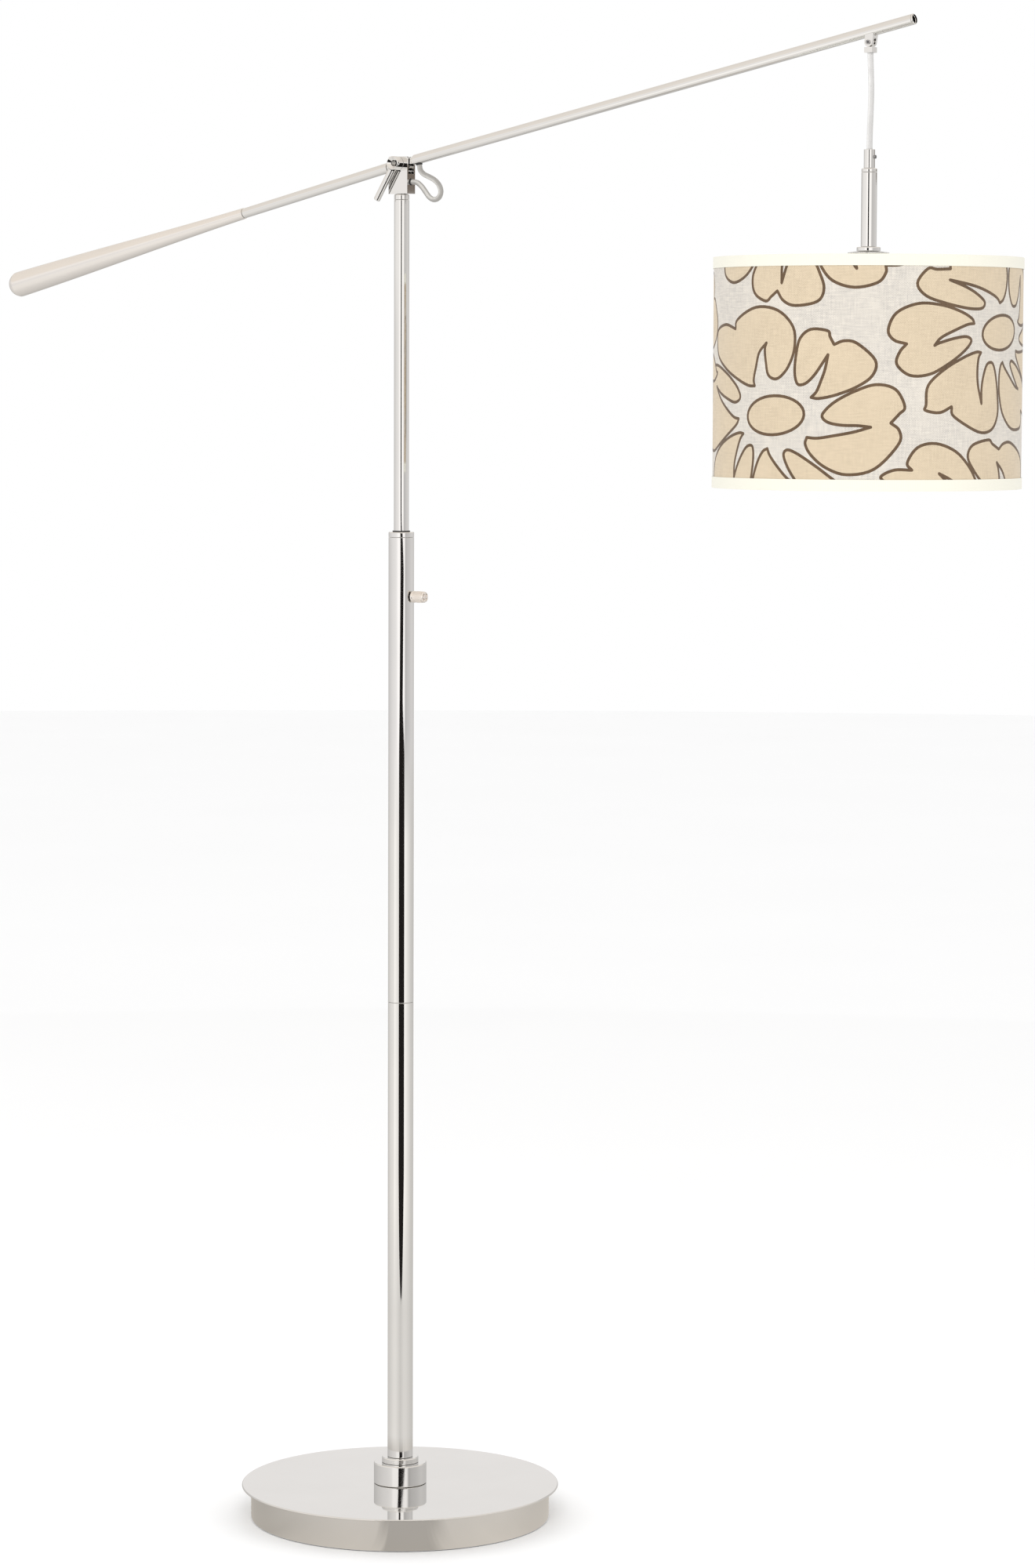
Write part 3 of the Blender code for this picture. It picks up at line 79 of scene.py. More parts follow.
# ---------------------------------------------------------------- node wrapper
class Value:
    """A socket whose Python operators add Math nodes to its tree."""

    def __init__(self, tree: bpy.types.NodeTree, socket: bpy.types.NodeSocket) -> None:
        """Wraps an output socket of a tree."""
        self.tree = tree
        self.socket = socket

    def _math(self, operation: str, *others: "Value | float", swap: bool = False) -> "Value":
        """Adds one Math node.

        Args:
            operation: The node's operation.
            others: The values that follow this one.
            swap: True where this value comes second.

        Returns:
            The node's result.
        """
        node = self.tree.nodes.new("ShaderNodeMath")
        node.operation = operation
        inputs = [self, *others]
        if swap:
            inputs.reverse()
        for slot, value in zip(node.inputs, inputs):
            if isinstance(value, Value):
                self.tree.links.new(value.socket, slot)
            else:
                slot.default_value = value
        return Value(self.tree, node.outputs[0])

    def __add__(self, other: "Value | float") -> "Value":
        """This plus other."""
        return self._math("ADD", other)

    def __radd__(self, other: float) -> "Value":
        """Other plus this."""
        return self._math("ADD", other)

    def __sub__(self, other: "Value | float") -> "Value":
        """This minus other."""
        return self._math("SUBTRACT", other)

    def __rsub__(self, other: float) -> "Value":
        """Other minus this."""
        return self._math("SUBTRACT", other, swap=True)

    def __mul__(self, other: "Value | float") -> "Value":
        """This times other."""
        return self._math("MULTIPLY", other)

    def __rmul__(self, other: float) -> "Value":
        """Other times this."""
        return self._math("MULTIPLY", other)

    def __pow__(self, other: float) -> "Value":
        """This to the power of other."""
        return self._math("POWER", other)

    def sine(self) -> "Value":
        """The sine of this, in radians."""
        return self._math("SINE")

    def clamp(self) -> "Value":
        """This kept between 0 and 1."""
        return self._math("MAXIMUM", 0.0)._math("MINIMUM", 1.0)

    def wave(self, pitch: float) -> "Value":
        """A sine wave along this, which repeats at each pitch."""
        return (self * (math.tau / pitch)).sine()


class Shader:
    """A new material and one method that makes any of its nodes."""

    def __init__(self, name: str) -> None:
        """Starts an empty material.

        Args:
            name: The material's name.
        """
        self.material = bpy.data.materials.new(name)
        self.material.use_nodes = True
        self.tree = self.material.node_tree
        self.tree.nodes.clear()

    def node(self, kind: str, settings: dict | None = None, **inputs: object) -> bpy.types.Node:
        """Adds one node.

        Args:
            kind: The node's type.
            settings: Its properties, set before its inputs; "stops" are a ramp's (place, colour) pairs.
            inputs: Its sockets by name, with _ for a space, each a value or another socket.

        Returns:
            The node.
        """
        made = self.tree.nodes.new(kind)
        for key, value in (settings or {}).items():
            if key != "stops":
                setattr(made, key, value)
                continue
            ramp = made.color_ramp.elements
            while len(ramp) < len(value):
                ramp.new(0.5)
            for element, (place, colour) in zip(ramp, value):
                element.position = place
                element.color = (*colour, 1.0)
        for key, value in inputs.items():
            self.feed(made.inputs[key.replace("_", " ")], value)
        return made

    def feed(self, slot: bpy.types.NodeSocket, value: object) -> None:
        """Links an input to a value or another socket, or sets its number or colour.

        Args:
            slot: The input.
            value: What it takes.
        """
        if isinstance(value, Value):
            value = value.socket
        if isinstance(value, bpy.types.NodeSocket):
            self.tree.links.new(value, slot)
        elif isinstance(slot.default_value, float):
            slot.default_value = value
        else:
            slot.default_value = (*value, 1.0)[: len(slot.default_value)]

    def value(self, made: bpy.types.Node, output: str) -> Value:
        """A node's output as a value for sums."""
        return Value(self.tree, made.outputs[output])

    def noise(self, place: object, scale: float, detail: float = 3.0, rough: float = 0.5) -> Value:
        """Noise from 0 to 1 at a place."""
        settings = {"Vector": place, "Scale": scale, "Detail": detail, "Roughness": rough}
        return self.value(self.node("ShaderNodeTexNoise", None, **settings), "Fac")

    def stretched(self, place: object, scale: Colour) -> bpy.types.NodeSocket:
        """A place with each of its axes scaled."""
        return self.node("ShaderNodeMapping", None, Vector=place, Scale=scale).outputs["Vector"]

    def blend(self, share: Value | float, first: object, second: object) -> bpy.types.NodeSocket:
        """A colour between two others.

        Args:
            share: The second colour's share.
            first: The first colour.
            second: The second colour.

        Returns:
            The mixed colour.
        """
        made = self.node("ShaderNodeMix", {"data_type": "RGBA"})
        for index, wanted in zip(MIX_INPUTS, (share, first, second)):
            self.feed(made.inputs[index], wanted)
        return made.outputs[MIX_RESULT]

    def bump(self, height: Value, distance: float) -> bpy.types.NodeSocket:
        """A normal from a height."""
        return self.node("ShaderNodeBump", None, Height=height, Distance=distance).outputs["Normal"]

    def surface(self, **inputs: object) -> bpy.types.Material:
        """Ends the material in a Principled shader with these inputs.

        Args:
            inputs: The shader's sockets, as node takes them.

        Returns:
            The material.
        """
        shader = self.node("ShaderNodeBsdfPrincipled", None, **inputs)
        self.node("ShaderNodeOutputMaterial", None, Surface=shader.outputs[0])
        return self.material

    def place(self) -> bpy.types.NodeSocket:
        """Object coordinates."""
        return self.node("ShaderNodeTexCoord").outputs["Object"]

    def mapped(self, name: str) -> tuple[bpy.types.NodeSocket, Value, Value]:
        """The place in a UV map, and its two parts.

        Args:
            name: The map's name.

        Returns:
            The place as a vector, how far it is along, and how far up.
        """
        spot = self.node("ShaderNodeUVMap", {"uv_map": name}).outputs[0]
        parts = self.node("ShaderNodeSeparateXYZ", None, Vector=spot)
        return spot, self.value(parts, "X"), self.value(parts, "Y")


# ---------------------------------------------------------------- finishes
def dimmed(colour: Colour, share: float) -> Colour:
    """A share of a colour."""
    return tuple(channel * share for channel in colour)


@dataclass(frozen=True)
class Metal:
    """A bare or plated metal with faint handling marks."""

    name: str
    colour: Colour
    roughness: float = 0.05
    smudge: float = 0.05
    grain: float = 0.0
    turning: Point3 = (90.0, 90.0, 4000.0)

    def build(self) -> bpy.types.Material:
        """Makes the material.

        Returns:
            The material.
        """
        shader = Shader(self.name)
        place = shader.place()
        cloud = shader.noise(place, 14.0, 4.0)
        speck = shader.noise(place, 420.0, 2.0)
        rough = self.roughness + self.smudge * (cloud * 0.7 + speck * 0.3)
        colour = shader.blend(cloud, self.colour, dimmed(self.colour, 0.93))
        inputs = {"Base_Color": colour, "Metallic": 1.0, "Roughness": rough}
        if self.grain:
            lines = shader.noise(shader.stretched(place, self.turning), 1.0, 2.0)
            inputs["Normal"] = shader.bump(lines, self.grain)
        return shader.surface(**inputs)


@dataclass(frozen=True)
class Moulded:
    """A moulded plastic, rubber, paint or iron with a fine surface grain."""

    name: str
    colour: Colour
    roughness: float = 0.45
    grain_scale: float = 900.0
    grain_depth: float = 0.05 * MM
    metallic: float = 0.0

    def build(self) -> bpy.types.Material:
        """Makes the material.

        Returns:
            The material.
        """
        shader = Shader(self.name)
        place = shader.place()
        grain = shader.noise(place, self.grain_scale, 3.0)
        cloud = shader.noise(place, 25.0, 2.0)
        return shader.surface(
            Base_Color=shader.blend(cloud, self.colour, dimmed(self.colour, 0.82)),
            Roughness=self.roughness + 0.12 * grain,
            Metallic=self.metallic,
            Normal=shader.bump(grain, self.grain_depth),
        )


@dataclass(frozen=True)
class Jacket:
    """A cord's smooth translucent jacket, with the pale cores seen through it as lengthwise streaks."""

    name: str
    colour: Colour
    shadow: Colour
    streaks: int = 2

    def build(self) -> bpy.types.Material:
        """Makes the material.

        Returns:
            The material.
        """
        shader = Shader(self.name)
        around = shader.mapped("run")[2]
        haze = shader.noise(shader.place(), 90.0, 3.0)
        cores = (around * (math.tau * self.streaks) + haze * 1.2).sine() * 0.5 + 0.5
        share = (cores**3.0 * 0.75 + haze * 0.3).clamp()
        return shader.surface(
            Base_Color=shader.blend(share, self.shadow, self.colour),
            Roughness=0.2 + 0.15 * haze,
            Coat_Weight=0.4,
            Coat_Roughness=0.15,
            Normal=shader.bump(cores, 0.05 * MM),
        )


class Ink(Enum):
    """What is printed on a stretch of the linen."""

    GROUND = "ground"
    PETAL = "petal"
    LINE = "line"


@dataclass(frozen=True)
class Linen:
    """Printed slub linen: crossing threads, uneven in thickness, ink that the weave breaks up, and a painted glow.
    """

    name: str
    ink: Ink
    weft_pitch: float = 1.9 * MM
    warp_pitch: float = 3.0 * MM
    weft_sway: float = 0.6 * MM
    warp_sway: float = 0.8 * MM
    slub_depth: float = 0.25 * MM
    # painted glow: the cloth gives off light of its own colour, as if lit from within, though it is no lamp
    glow: float = 0.08

    def build(self) -> bpy.types.Material:
        """Makes the material.

        Returns:
            The material.
        """
        shader = Shader(self.name)
        cloth, across, upward = shader.mapped("cloth")
        sway = shader.noise(cloth, 40.0, 2.0)
        weft = (upward + sway * self.weft_sway).wave(self.weft_pitch)
        warp = (across + sway * self.warp_sway).wave(self.warp_pitch)
        basket = (weft * warp) * 0.5 + 0.5
        slub_across = shader.noise(shader.stretched(cloth, (70.0, 620.0, 1.0)), 1.0, 2.0, 0.6)
        slub_up = shader.noise(shader.stretched(cloth, (620.0, 60.0, 1.0)), 1.0, 2.0, 0.6)
        thread = (basket * 0.5 + slub_across * 0.8 + slub_up * 0.7 - 0.5).clamp()
        patch = shader.noise(cloth, 22.0, 2.0)
        pale, deep = {
            Ink.PETAL: ((0.655, 0.54, 0.385), (0.45, 0.365, 0.255)),
            Ink.GROUND: ((0.73, 0.675, 0.59), (0.375, 0.355, 0.335)),
            Ink.LINE: ((0.155, 0.092, 0.045), (0.06, 0.034, 0.016)),
        }[self.ink]
        colour = shader.blend((thread * 1.1 - 0.05).clamp(), deep, pale)
        colour = shader.blend((patch - 0.45).clamp() * 1.6, colour, dimmed(pale, 0.93))
        return shader.surface(
            Base_Color=colour,
            Roughness=0.78 + 0.15 * slub_up,
            Sheen_Weight=0.15,
            Sheen_Roughness=0.5,
            # the painted glow, in the cloth's own colour
            Emission_Color=colour,
            Emission_Strength=self.glow,
            Normal=shader.bump(thread, self.slub_depth),
        )


@dataclass(frozen=True)
class Tape:
    """The cream fabric tape on the shade's edges: fine ribs across a matt cloth, with a painted glow."""

    name: str
    colour: Colour
    pitch: float = 1.3 * MM
    rib_depth: float = 0.12 * MM
    # painted glow: the tape gives off light of its own colour, as if lit from within, though it is no lamp
    glow: float = 0.03

    def build(self) -> bpy.types.Material:
        """Makes the material.

        Returns:
            The material.
        """
        shader = Shader(self.name)
        cloth, across, _ = shader.mapped("cloth")
        ribs = across.wave(self.pitch) * 0.5 + 0.5
        fuzz = shader.noise(cloth, 900.0, 2.0)
        weave = (ribs * 0.5 + fuzz * 0.5).clamp()
        colour = shader.blend(weave, dimmed(self.colour, 0.86), self.colour)
        return shader.surface(
            Base_Color=colour,
            Roughness=0.8 + 0.1 * fuzz,
            Sheen_Weight=0.2,
            # the painted glow, in the tape's own colour
            Emission_Color=colour,
            Emission_Strength=self.glow,
            Normal=shader.bump(weave, self.rib_depth),
        )


@dataclass(frozen=True)
class Frosted:
    """The bulb's frosted glass, which glows a little."""

    name: str
    colour: Colour
    glow: float = 1.2

    def build(self) -> bpy.types.Material:
        """Makes the material.

        Returns:
            The material.
        """
        shader = Shader(self.name)
        frost = shader.noise(shader.place(), 700.0, 2.0)
        colour = shader.blend(frost, self.colour, dimmed(self.colour, 0.96))
        return shader.surface(
            Base_Color=colour,
            Roughness=0.3 + 0.1 * frost,
            Coat_Weight=0.4,
            Emission_Color=colour,
            Emission_Strength=self.glow,
        )


FINISHES = {
    "chrome": Metal("polished_chrome", (0.815, 0.81, 0.80), 0.025, 0.03),
    "satin_chrome": Metal("satin_chrome", (0.88, 0.85, 0.82), 0.10, 0.06),
    "pearl_chrome": Metal("pearl_chrome", (0.93, 0.88, 0.83), 0.16, 0.05),
    "steel": Metal("turned_steel", (0.56, 0.56, 0.57), 0.25, 0.1, 0.02 * MM),
    "brass": Metal("turned_brass", (0.78, 0.58, 0.28), 0.22, 0.1, 0.02 * MM),
    "iron": Moulded("cast_iron", (0.06, 0.06, 0.065), 0.7, 260.0, 0.35 * MM, 0.6),
    "felt": Moulded("pad_felt", (0.03, 0.03, 0.032), 0.9, 1400.0, 0.3 * MM),
    "black_plastic": Moulded("black_plastic", (0.018, 0.018, 0.018), 0.35),
    "nylon": Moulded("natural_nylon", (0.74, 0.73, 0.69), 0.4),
    "white_wire": Moulded("powder_coat", (0.84, 0.84, 0.81), 0.35, 1200.0, 0.06 * MM),
    "liner": Moulded("shade_liner", (0.88, 0.87, 0.83), 0.4, 1500.0, 0.02 * MM),
    "cord": Jacket("cord_jacket", (0.60, 0.585, 0.55), (0.27, 0.26, 0.245)),
    "pendant_cord": Jacket("pendant_jacket", (0.80, 0.79, 0.78), (0.52, 0.51, 0.50)),
    "linen_ground": Linen("linen_ground", Ink.GROUND),
    "linen_petal": Linen("linen_petal", Ink.PETAL),
    "linen_line": Linen("linen_line", Ink.LINE, glow=0.0),
    "cream_trim": Tape("cream_tape", (0.82, 0.80, 0.695)),
    "opal_glass": Frosted("frosted_glass", (0.97, 0.95, 0.90)),
}
MATERIALS: dict[str, bpy.types.Material] = {}

# A rounded corner's steps, its guards' distance in shares of its size, and the angle past which it stays.
CORNER_STEPS = 3
CORNER_GUARD = 1.4
CORNER_OPEN = math.radians(155)
TINY = 1e-7
# The radius under which a point is on its axis, and how far a copied mesh's doubles may be apart.
ON_AXIS = 1e-6
DOUBLES = 0.01 * MM
# The least angle of an edge that is bevelled, and the turn that is still flat.
HARD_EDGE = math.radians(50)
STILL_FLAT = math.radians(1)
RIGHT = Vector((1, 0, 0))
FRONT = Vector((0, -1, 0))
BACK = Vector((0, 1, 0))
SKY = Vector((0, 0, 1))


def finish_of(name: str) -> bpy.types.Material:
    """The material of a finish, made the first time it is asked for.

    Args:
        name: The finish.

    Returns:
        Its material.
    """
    if name not in MATERIALS:
        MATERIALS[name] = FINISHES[name].build()
    return MATERIALS[name]


# ---------------------------------------------------------------- meshes
def settle(
    piece: bpy.types.Object, body: str, finish: str, *nodes: str, slot: str | None = None
) -> bpy.types.Object:
    """Dresses a piece, makes it ride on a body and hides the CAD nodes that it stands for.

    Args:
        piece: The finished piece.
        body: The CAD body that it moves with.
        finish: The name of its finish.
        nodes: The CAD nodes that it replaces.
        slot: The record's material slot, where it isn't the finish's name; not used.

    Returns:
        The piece.
    """
    piece.data.materials.clear()
    piece.data.materials.append(finish_of(finish))
    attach(piece, body)
    if nodes:
        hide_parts(*nodes)
    LOG.info("%s rides on %s", piece.name, body)
    return piece


def piece_of(name: str, mesh: bpy.types.Mesh) -> bpy.types.Object:
    """An object of a mesh, at the origin.

    Args:
        name: The object's name.
        mesh: The mesh, with its place in it.

    Returns:
        The object.
    """
    piece = bpy.data.objects.new(name, mesh)
    bpy.context.scene.collection.objects.link(piece)
    return piece


def merged(node: str) -> bmesh.types.BMesh:
    """A copy of a CAD node's mesh with its loose triangles joined.

    Args:
        node: The CAD node.

    Returns:
        The copy, which the caller frees.
    """
    shape = bmesh.new()
    shape.from_mesh(NODES[node].data)
    bmesh.ops.remove_doubles(shape, verts=shape.verts, dist=DOUBLES)
    return shape


def smoothed(shape: bmesh.types.BMesh, name: str, angle: float = 40.0) -> bpy.types.Mesh:
    """A mesh of a bmesh, smooth where its faces meet at less than an angle in degrees.

    Args:
        shape: The bmesh, which is freed.
        name: The mesh's name.
        angle: The angle.

    Returns:
        The mesh.
    """
    mesh = bpy.data.meshes.new(name)
    shape.to_mesh(mesh)
    shape.free()
    mesh.shade_smooth()
    mesh.set_sharp_from_angle(angle=math.radians(angle))
    return mesh


@dataclass
class Axis:
    """A turned piece's axis and the side of it on which its outline is read."""

    origin: Vector
    along: Vector
    side: Vector

    def split(self, point: Vector) -> tuple[float, float, float]:
        """A point's reach to the side, its distance off that half-plane and its height.

        Args:
            point: The point.

        Returns:
            The reach, the distance and the height.
        """
        out = point - self.origin
        height = out.dot(self.along)
        reach = out.dot(self.side)
        off = out.dot(self.along.cross(self.side))
        return reach, off, height


def outline_of(node: str, axis: Axis) -> list[Point]:
    """The outline of a turned CAD node as (radius, height) points.

    Args:
        node: The CAD node.
        axis: The axis that it was turned about.

    Returns:
        The points in order: a closed outline, or an open one that starts and ends on the axis.
    """
    shape = merged(node)
    near = 0.02 * MM
    places = {}
    for vert in shape.verts:
        reach, off, height = axis.split(vert.co)
        if abs(off) < near and reach > -near:
            places[vert.index] = (max(reach, 0.0), height)
    links = {index: [] for index in places}
    for edge in shape.edges:
        a, b = edge.verts[0].index, edge.verts[1].index
        if a in places and b in places:
            links[a].append(b)
            links[b].append(a)
    shape.free()
    on_axis = [index for index, place in places.items() if place[0] < near]
    start = min(on_axis, key=lambda i: places[i][1]) if on_axis else min(places, key=lambda i: places[i][1])
    chain = [start]
    while True:
        ahead = [i for i in links[chain[-1]] if i not in chain]
        if not ahead:
            break
        chain.append(max(ahead, key=lambda i: places[i][0]))
    return [places[index] for index in chain]


def rounded(outline: list[Point], radius: float, closed: bool) -> list[Point]:
    """An outline with its sharp corners rounded, and a guard on each side of them that keeps long faces flat.

    Args:
        outline: The (radius, height) points.
        radius: The rounding's size, kept under a third of the sides that it joins.
        closed: True where the last point joins the first.

    Returns:
        The new outline.
    """
    count = len(outline)
    made: list[Point] = []
    for index, here in enumerate(outline):
        point = Vector(here)
        before = Vector(outline[index - 1]) - point
        after = Vector(outline[(index + 1) % count]) - point
        end = not closed and index in (0, count - 1)
        if end or before.length < TINY or after.length < TINY or before.angle(after) > CORNER_OPEN:
            made.append(here)
            continue
        size = min(radius, before.length / 3, after.length / 3)
        first, last = point + before.normalized() * size, point + after.normalized() * size
        spots = [point + before.normalized() * size * CORNER_GUARD]
        for step in range(CORNER_STEPS + 1):
            share = step / CORNER_STEPS
            spots.append(first * (1 - share) ** 2 + point * 2 * share * (1 - share) + last * share**2)
        spots.append(point + after.normalized() * size * CORNER_GUARD)
        made += [(max(spot.x, 0.0), spot.y) for spot in spots]
    return made


def lathe(name: str, outline: list[Point], axis: Axis, sides: int = 96) -> bpy.types.Mesh:
    """Turns an outline about an axis.

    Args:
        name: The mesh's name.
        outline: The (radius, height) points; those at radius 0 close the piece on its axis.
        axis: The axis.
        sides: The number of sides.

    Returns:
        The mesh, with its faces pointing out.
    """
    shape = bmesh.new()
    other = axis.along.cross(axis.side)
    rings = []
    for radius, height in outline:
        centre = axis.origin + axis.along * height
        if radius < ON_AXIS:
            rings.append([shape.verts.new(centre)])
            continue
        turns = [math.tau * side / sides for side in range(sides)]
        ways = [axis.side * math.cos(turn) + other * math.sin(turn) for turn in turns]
        rings.append([shape.verts.new(centre + way * radius) for way in ways])
    for low, high in zip(rings, rings[1:] + rings[:1]):
        if len(low) == 1 and len(high) == 1:
            continue
        for side in range(sides):
            after = (side + 1) % sides
            lower = (low[side % len(low)], low[after % len(low)])
            upper = (high[after % len(high)], high[side % len(high)])
            shape.faces.new(list(dict.fromkeys(lower + upper)))
    bmesh.ops.recalc_face_normals(shape, faces=shape.faces)
    return smoothed(shape, name)


def returned(node: str, axis: Axis, radius: float, sides: int = 96) -> bpy.types.Object:
    """A finer turned piece with soft edges, in a CAD node's place.

    Args:
        node: The turned CAD node.
        axis: Its axis.
        radius: How far its corners are rounded.
        sides: The number of sides.

    Returns:
        The piece.
    """
    outline = outline_of(node, axis)
    closed = min(point[0] for point in outline) > 0.05 * MM
    soft = rounded(outline, radius, closed)
    return piece_of(f"{node}_fine", lathe(f"{node}_fine", soft, axis, sides))


def turned(axis: Axis, edge: float, *rows: tuple[str, str, str, int]) -> None:
    """Puts finer turned pieces in the place of CAD nodes.

    Args:
        axis: The axis that they share.
        edge: How far their corners are rounded.
        rows: For each, its node, body, finish and number of sides.
    """
    for node, body, finish, sides in rows:
        settle(returned(node, axis, edge, sides), body, finish, node, slot=finish)


def softened(node: str, width: float, body: str, finish: str, slot: str) -> None:
    """Puts a copy with bevelled edges in the place of a cut CAD node.

    Args:
        node: The CAD node.
        width: The bevel's width.
        body: The CAD body that it moves with.
        finish: The name of its finish.
        slot: The record's material slot.
    """
    shape = merged(node)
    bmesh.ops.dissolve_limit(shape, angle_limit=STILL_FLAT, verts=shape.verts, edges=shape.edges)
    piece = piece_of(f"{node}_fine", smoothed(shape, f"{node}_fine", 30.0))
    bevel = piece.modifiers.new("edges", "BEVEL")
    bevel.width = width
    bevel.segments = 3
    bevel.limit_method = "ANGLE"
    bevel.angle_limit = HARD_EDGE
    bevel.harden_normals = True
    settle(baked(piece), body, finish, node, slot=slot)


def drilled(
    piece: bpy.types.Object, spots: list[Vector], way: Vector, radius: float, depth: float
) -> bpy.types.Object:
    """A piece with round blind holes cut into a face.

    Args:
        piece: The piece.
        spots: The holes' middles on the face.
        way: The face's outward direction.
        radius: The holes' radius.
        depth: The holes' depth.

    Returns:
        The piece.
    """
    shape = bmesh.new()
    turn = way.to_track_quat("Z", "Y").to_matrix().to_4x4()
    for spot in spots:
        place = Matrix.Translation(spot) @ turn
        bmesh.ops.create_cone(
            shape, cap_ends=True, segments=24, radius1=radius, radius2=radius, depth=2 * depth, matrix=place
        )
    cutter = piece_of("cutter", smoothed(shape, "cutter"))
    cut = piece.modifiers.new("holes", "BOOLEAN")
    cut.operation = "DIFFERENCE"
    cut.object = cutter
    piece = baked(piece)
    bpy.data.objects.remove(cutter)
    return piece


def baked(piece: bpy.types.Object) -> bpy.types.Object:
    """A piece with its modifiers' result as a plain mesh.

    Args:
        piece: The piece.

    Returns:
        The same piece, without modifiers.
    """
    result = bpy.data.meshes.new_from_object(piece.evaluated_get(bpy.context.evaluated_depsgraph_get()))
    piece.modifiers.clear()
    piece.data = result
    return piece


UP = Axis(Vector((0, 0, 0)), SKY, FRONT)


def upright(x: float) -> Axis:
    """A vertical axis at a distance along the boom's plane."""
    return Axis(Vector((x, 0, 0)), UP.along, UP.side)


def level(x: float, z: float) -> Axis:
    """A level axis in the boom's plane."""
    return Axis(Vector((x, 0, z)), RIGHT, FRONT)


def middle(node: str) -> Vector:
    """The middle of a node's box."""
    low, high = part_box(node)
    return (Vector(low) + Vector(high)) / 2


def long_axis(node: str) -> Axis:
    """The axis of a straight turned bar, from its end that is nearer the world's axis.

    Args:
        node: The CAD node.

    Returns:
        The axis, through the middles of the bar's two ends.
    """
    shape = merged(node)
    places = np.array([vert.co for vert in shape.verts])
    shape.free()
    run = places @ np.linalg.svd(places - places.mean(axis=0))[2][0]
    near = Vector(places[run < run.min() + 0.5 * MM].mean(axis=0))
    far = Vector(places[run > run.max() - 0.5 * MM].mean(axis=0))
    if abs(near.x) > abs(far.x):
        near, far = far, near
    return Axis(near, (far - near).normalized(), FRONT)


def between(before: Vector, here: Vector, there: Vector, beyond: Vector, share: float) -> Vector:
    """A point of a smooth curve through four others.

    Args:
        before: The point before the stretch.
        here: The stretch's start.
        there: The stretch's end.
        beyond: The point after the stretch.
        share: How far along the stretch the point lies, from 0 to 1.

    Returns:
        The point.
    """
    flow = 2 * here + (there - before) * share
    curve = 2 * before - 5 * here + 4 * there - beyond
    swing = 3 * here - before - 3 * there + beyond
    return (flow + curve * share**2 + swing * share**3) / 2


def curved(points: list[Vector], steps: int) -> list[Vector]:
    """A smooth curve through points, in even steps between each two, without its last point.

    Args:
        points: What it passes through.
        steps: The steps between two of them.

    Returns:
        The curve's points.
    """
    ends = [2 * points[0] - points[1], *points, 2 * points[-1] - points[-2]]
    stretches = zip(ends, ends[1:], ends[2:], ends[3:])
    return [between(*stretch, step / steps) for stretch in stretches for step in range(steps)]


# ---------------------------------------------------------------- geometry trees
class RingTree:
    """A Geometry Nodes tree that sets a small long bead at even steps round a circle."""

    def __init__(self, name: str) -> None:
        """Builds the tree with its named inputs.

        Args:
            name: The tree's name.
        """
        self.tree = bpy.data.node_groups.new(name, "GeometryNodeTree")
        face = self.tree.interface
        self.keys = {}
        for label, kind in (
            ("Count", "NodeSocketInt"),
            ("Radius", "NodeSocketFloat"),
            ("Length", "NodeSocketFloat"),
            ("Width", "NodeSocketFloat"),
            ("Depth", "NodeSocketFloat"),
            ("Finish", "NodeSocketMaterial"),
        ):
            self.keys[label] = face.new_socket(label, in_out="INPUT", socket_type=kind).identifier
        face.new_socket("Geometry", in_out="OUTPUT", socket_type="NodeSocketGeometry")
        given, circle, size, bead, place, turn, copies, real, dress, out = (
            self.tree.nodes.new(kind)
            for kind in (
                "NodeGroupInput",
                "GeometryNodeMeshCircle",
                "ShaderNodeCombineXYZ",
                "GeometryNodeMeshUVSphere",
                "GeometryNodeInputPosition",
                "FunctionNodeAlignRotationToVector",
                "GeometryNodeInstanceOnPoints",
                "GeometryNodeRealizeInstances",
                "GeometryNodeSetMaterial",
                "NodeGroupOutput",
            )
        )
        for slot, number in (("Segments", 8), ("Rings", 6), ("Radius", 0.5)):
            bead.inputs[slot].default_value = number
        turn.axis = "X"
        turn.pivot_axis = "Z"
        for source, result, target, slot in (
            (given, "Count", circle, "Vertices"),
            (given, "Radius", circle, "Radius"),
            (given, "Depth", size, "X"),
            (given, "Width", size, "Y"),
            (given, "Length", size, "Z"),
            (place, "Position", turn, "Vector"),
            (circle, "Mesh", copies, "Points"),
            (bead, "Mesh", copies, "Instance"),
            (turn, "Rotation", copies, "Rotation"),
            (size, "Vector", copies, "Scale"),
            (copies, "Instances", real, "Geometry"),
            (real, "Geometry", dress, "Geometry"),
            (given, "Finish", dress, "Material"),
            (dress, "Geometry", out, "Geometry"),
        ):
            self.tree.links.new(source.outputs[result], target.inputs[slot])

    def make(self, name: str, place: Matrix, **values: object) -> bpy.types.Object:
        """Makes a ring as a plain mesh.

        Args:
            name: The piece's name.
            place: Where the ring's centre and axis go.
            values: The tree's inputs by name.

        Returns:
            The piece, at the origin, with its place in its mesh.
        """
        piece = piece_of(name, bpy.data.meshes.new(name))
        ring = piece.modifiers.new("ring", "NODES")
        ring.node_group = self.tree
        for label, value in values.items():
            ring[self.keys[label]] = value
        piece = baked(piece)
        piece.data.transform(place)
        piece.data.shade_smooth()
        return piece


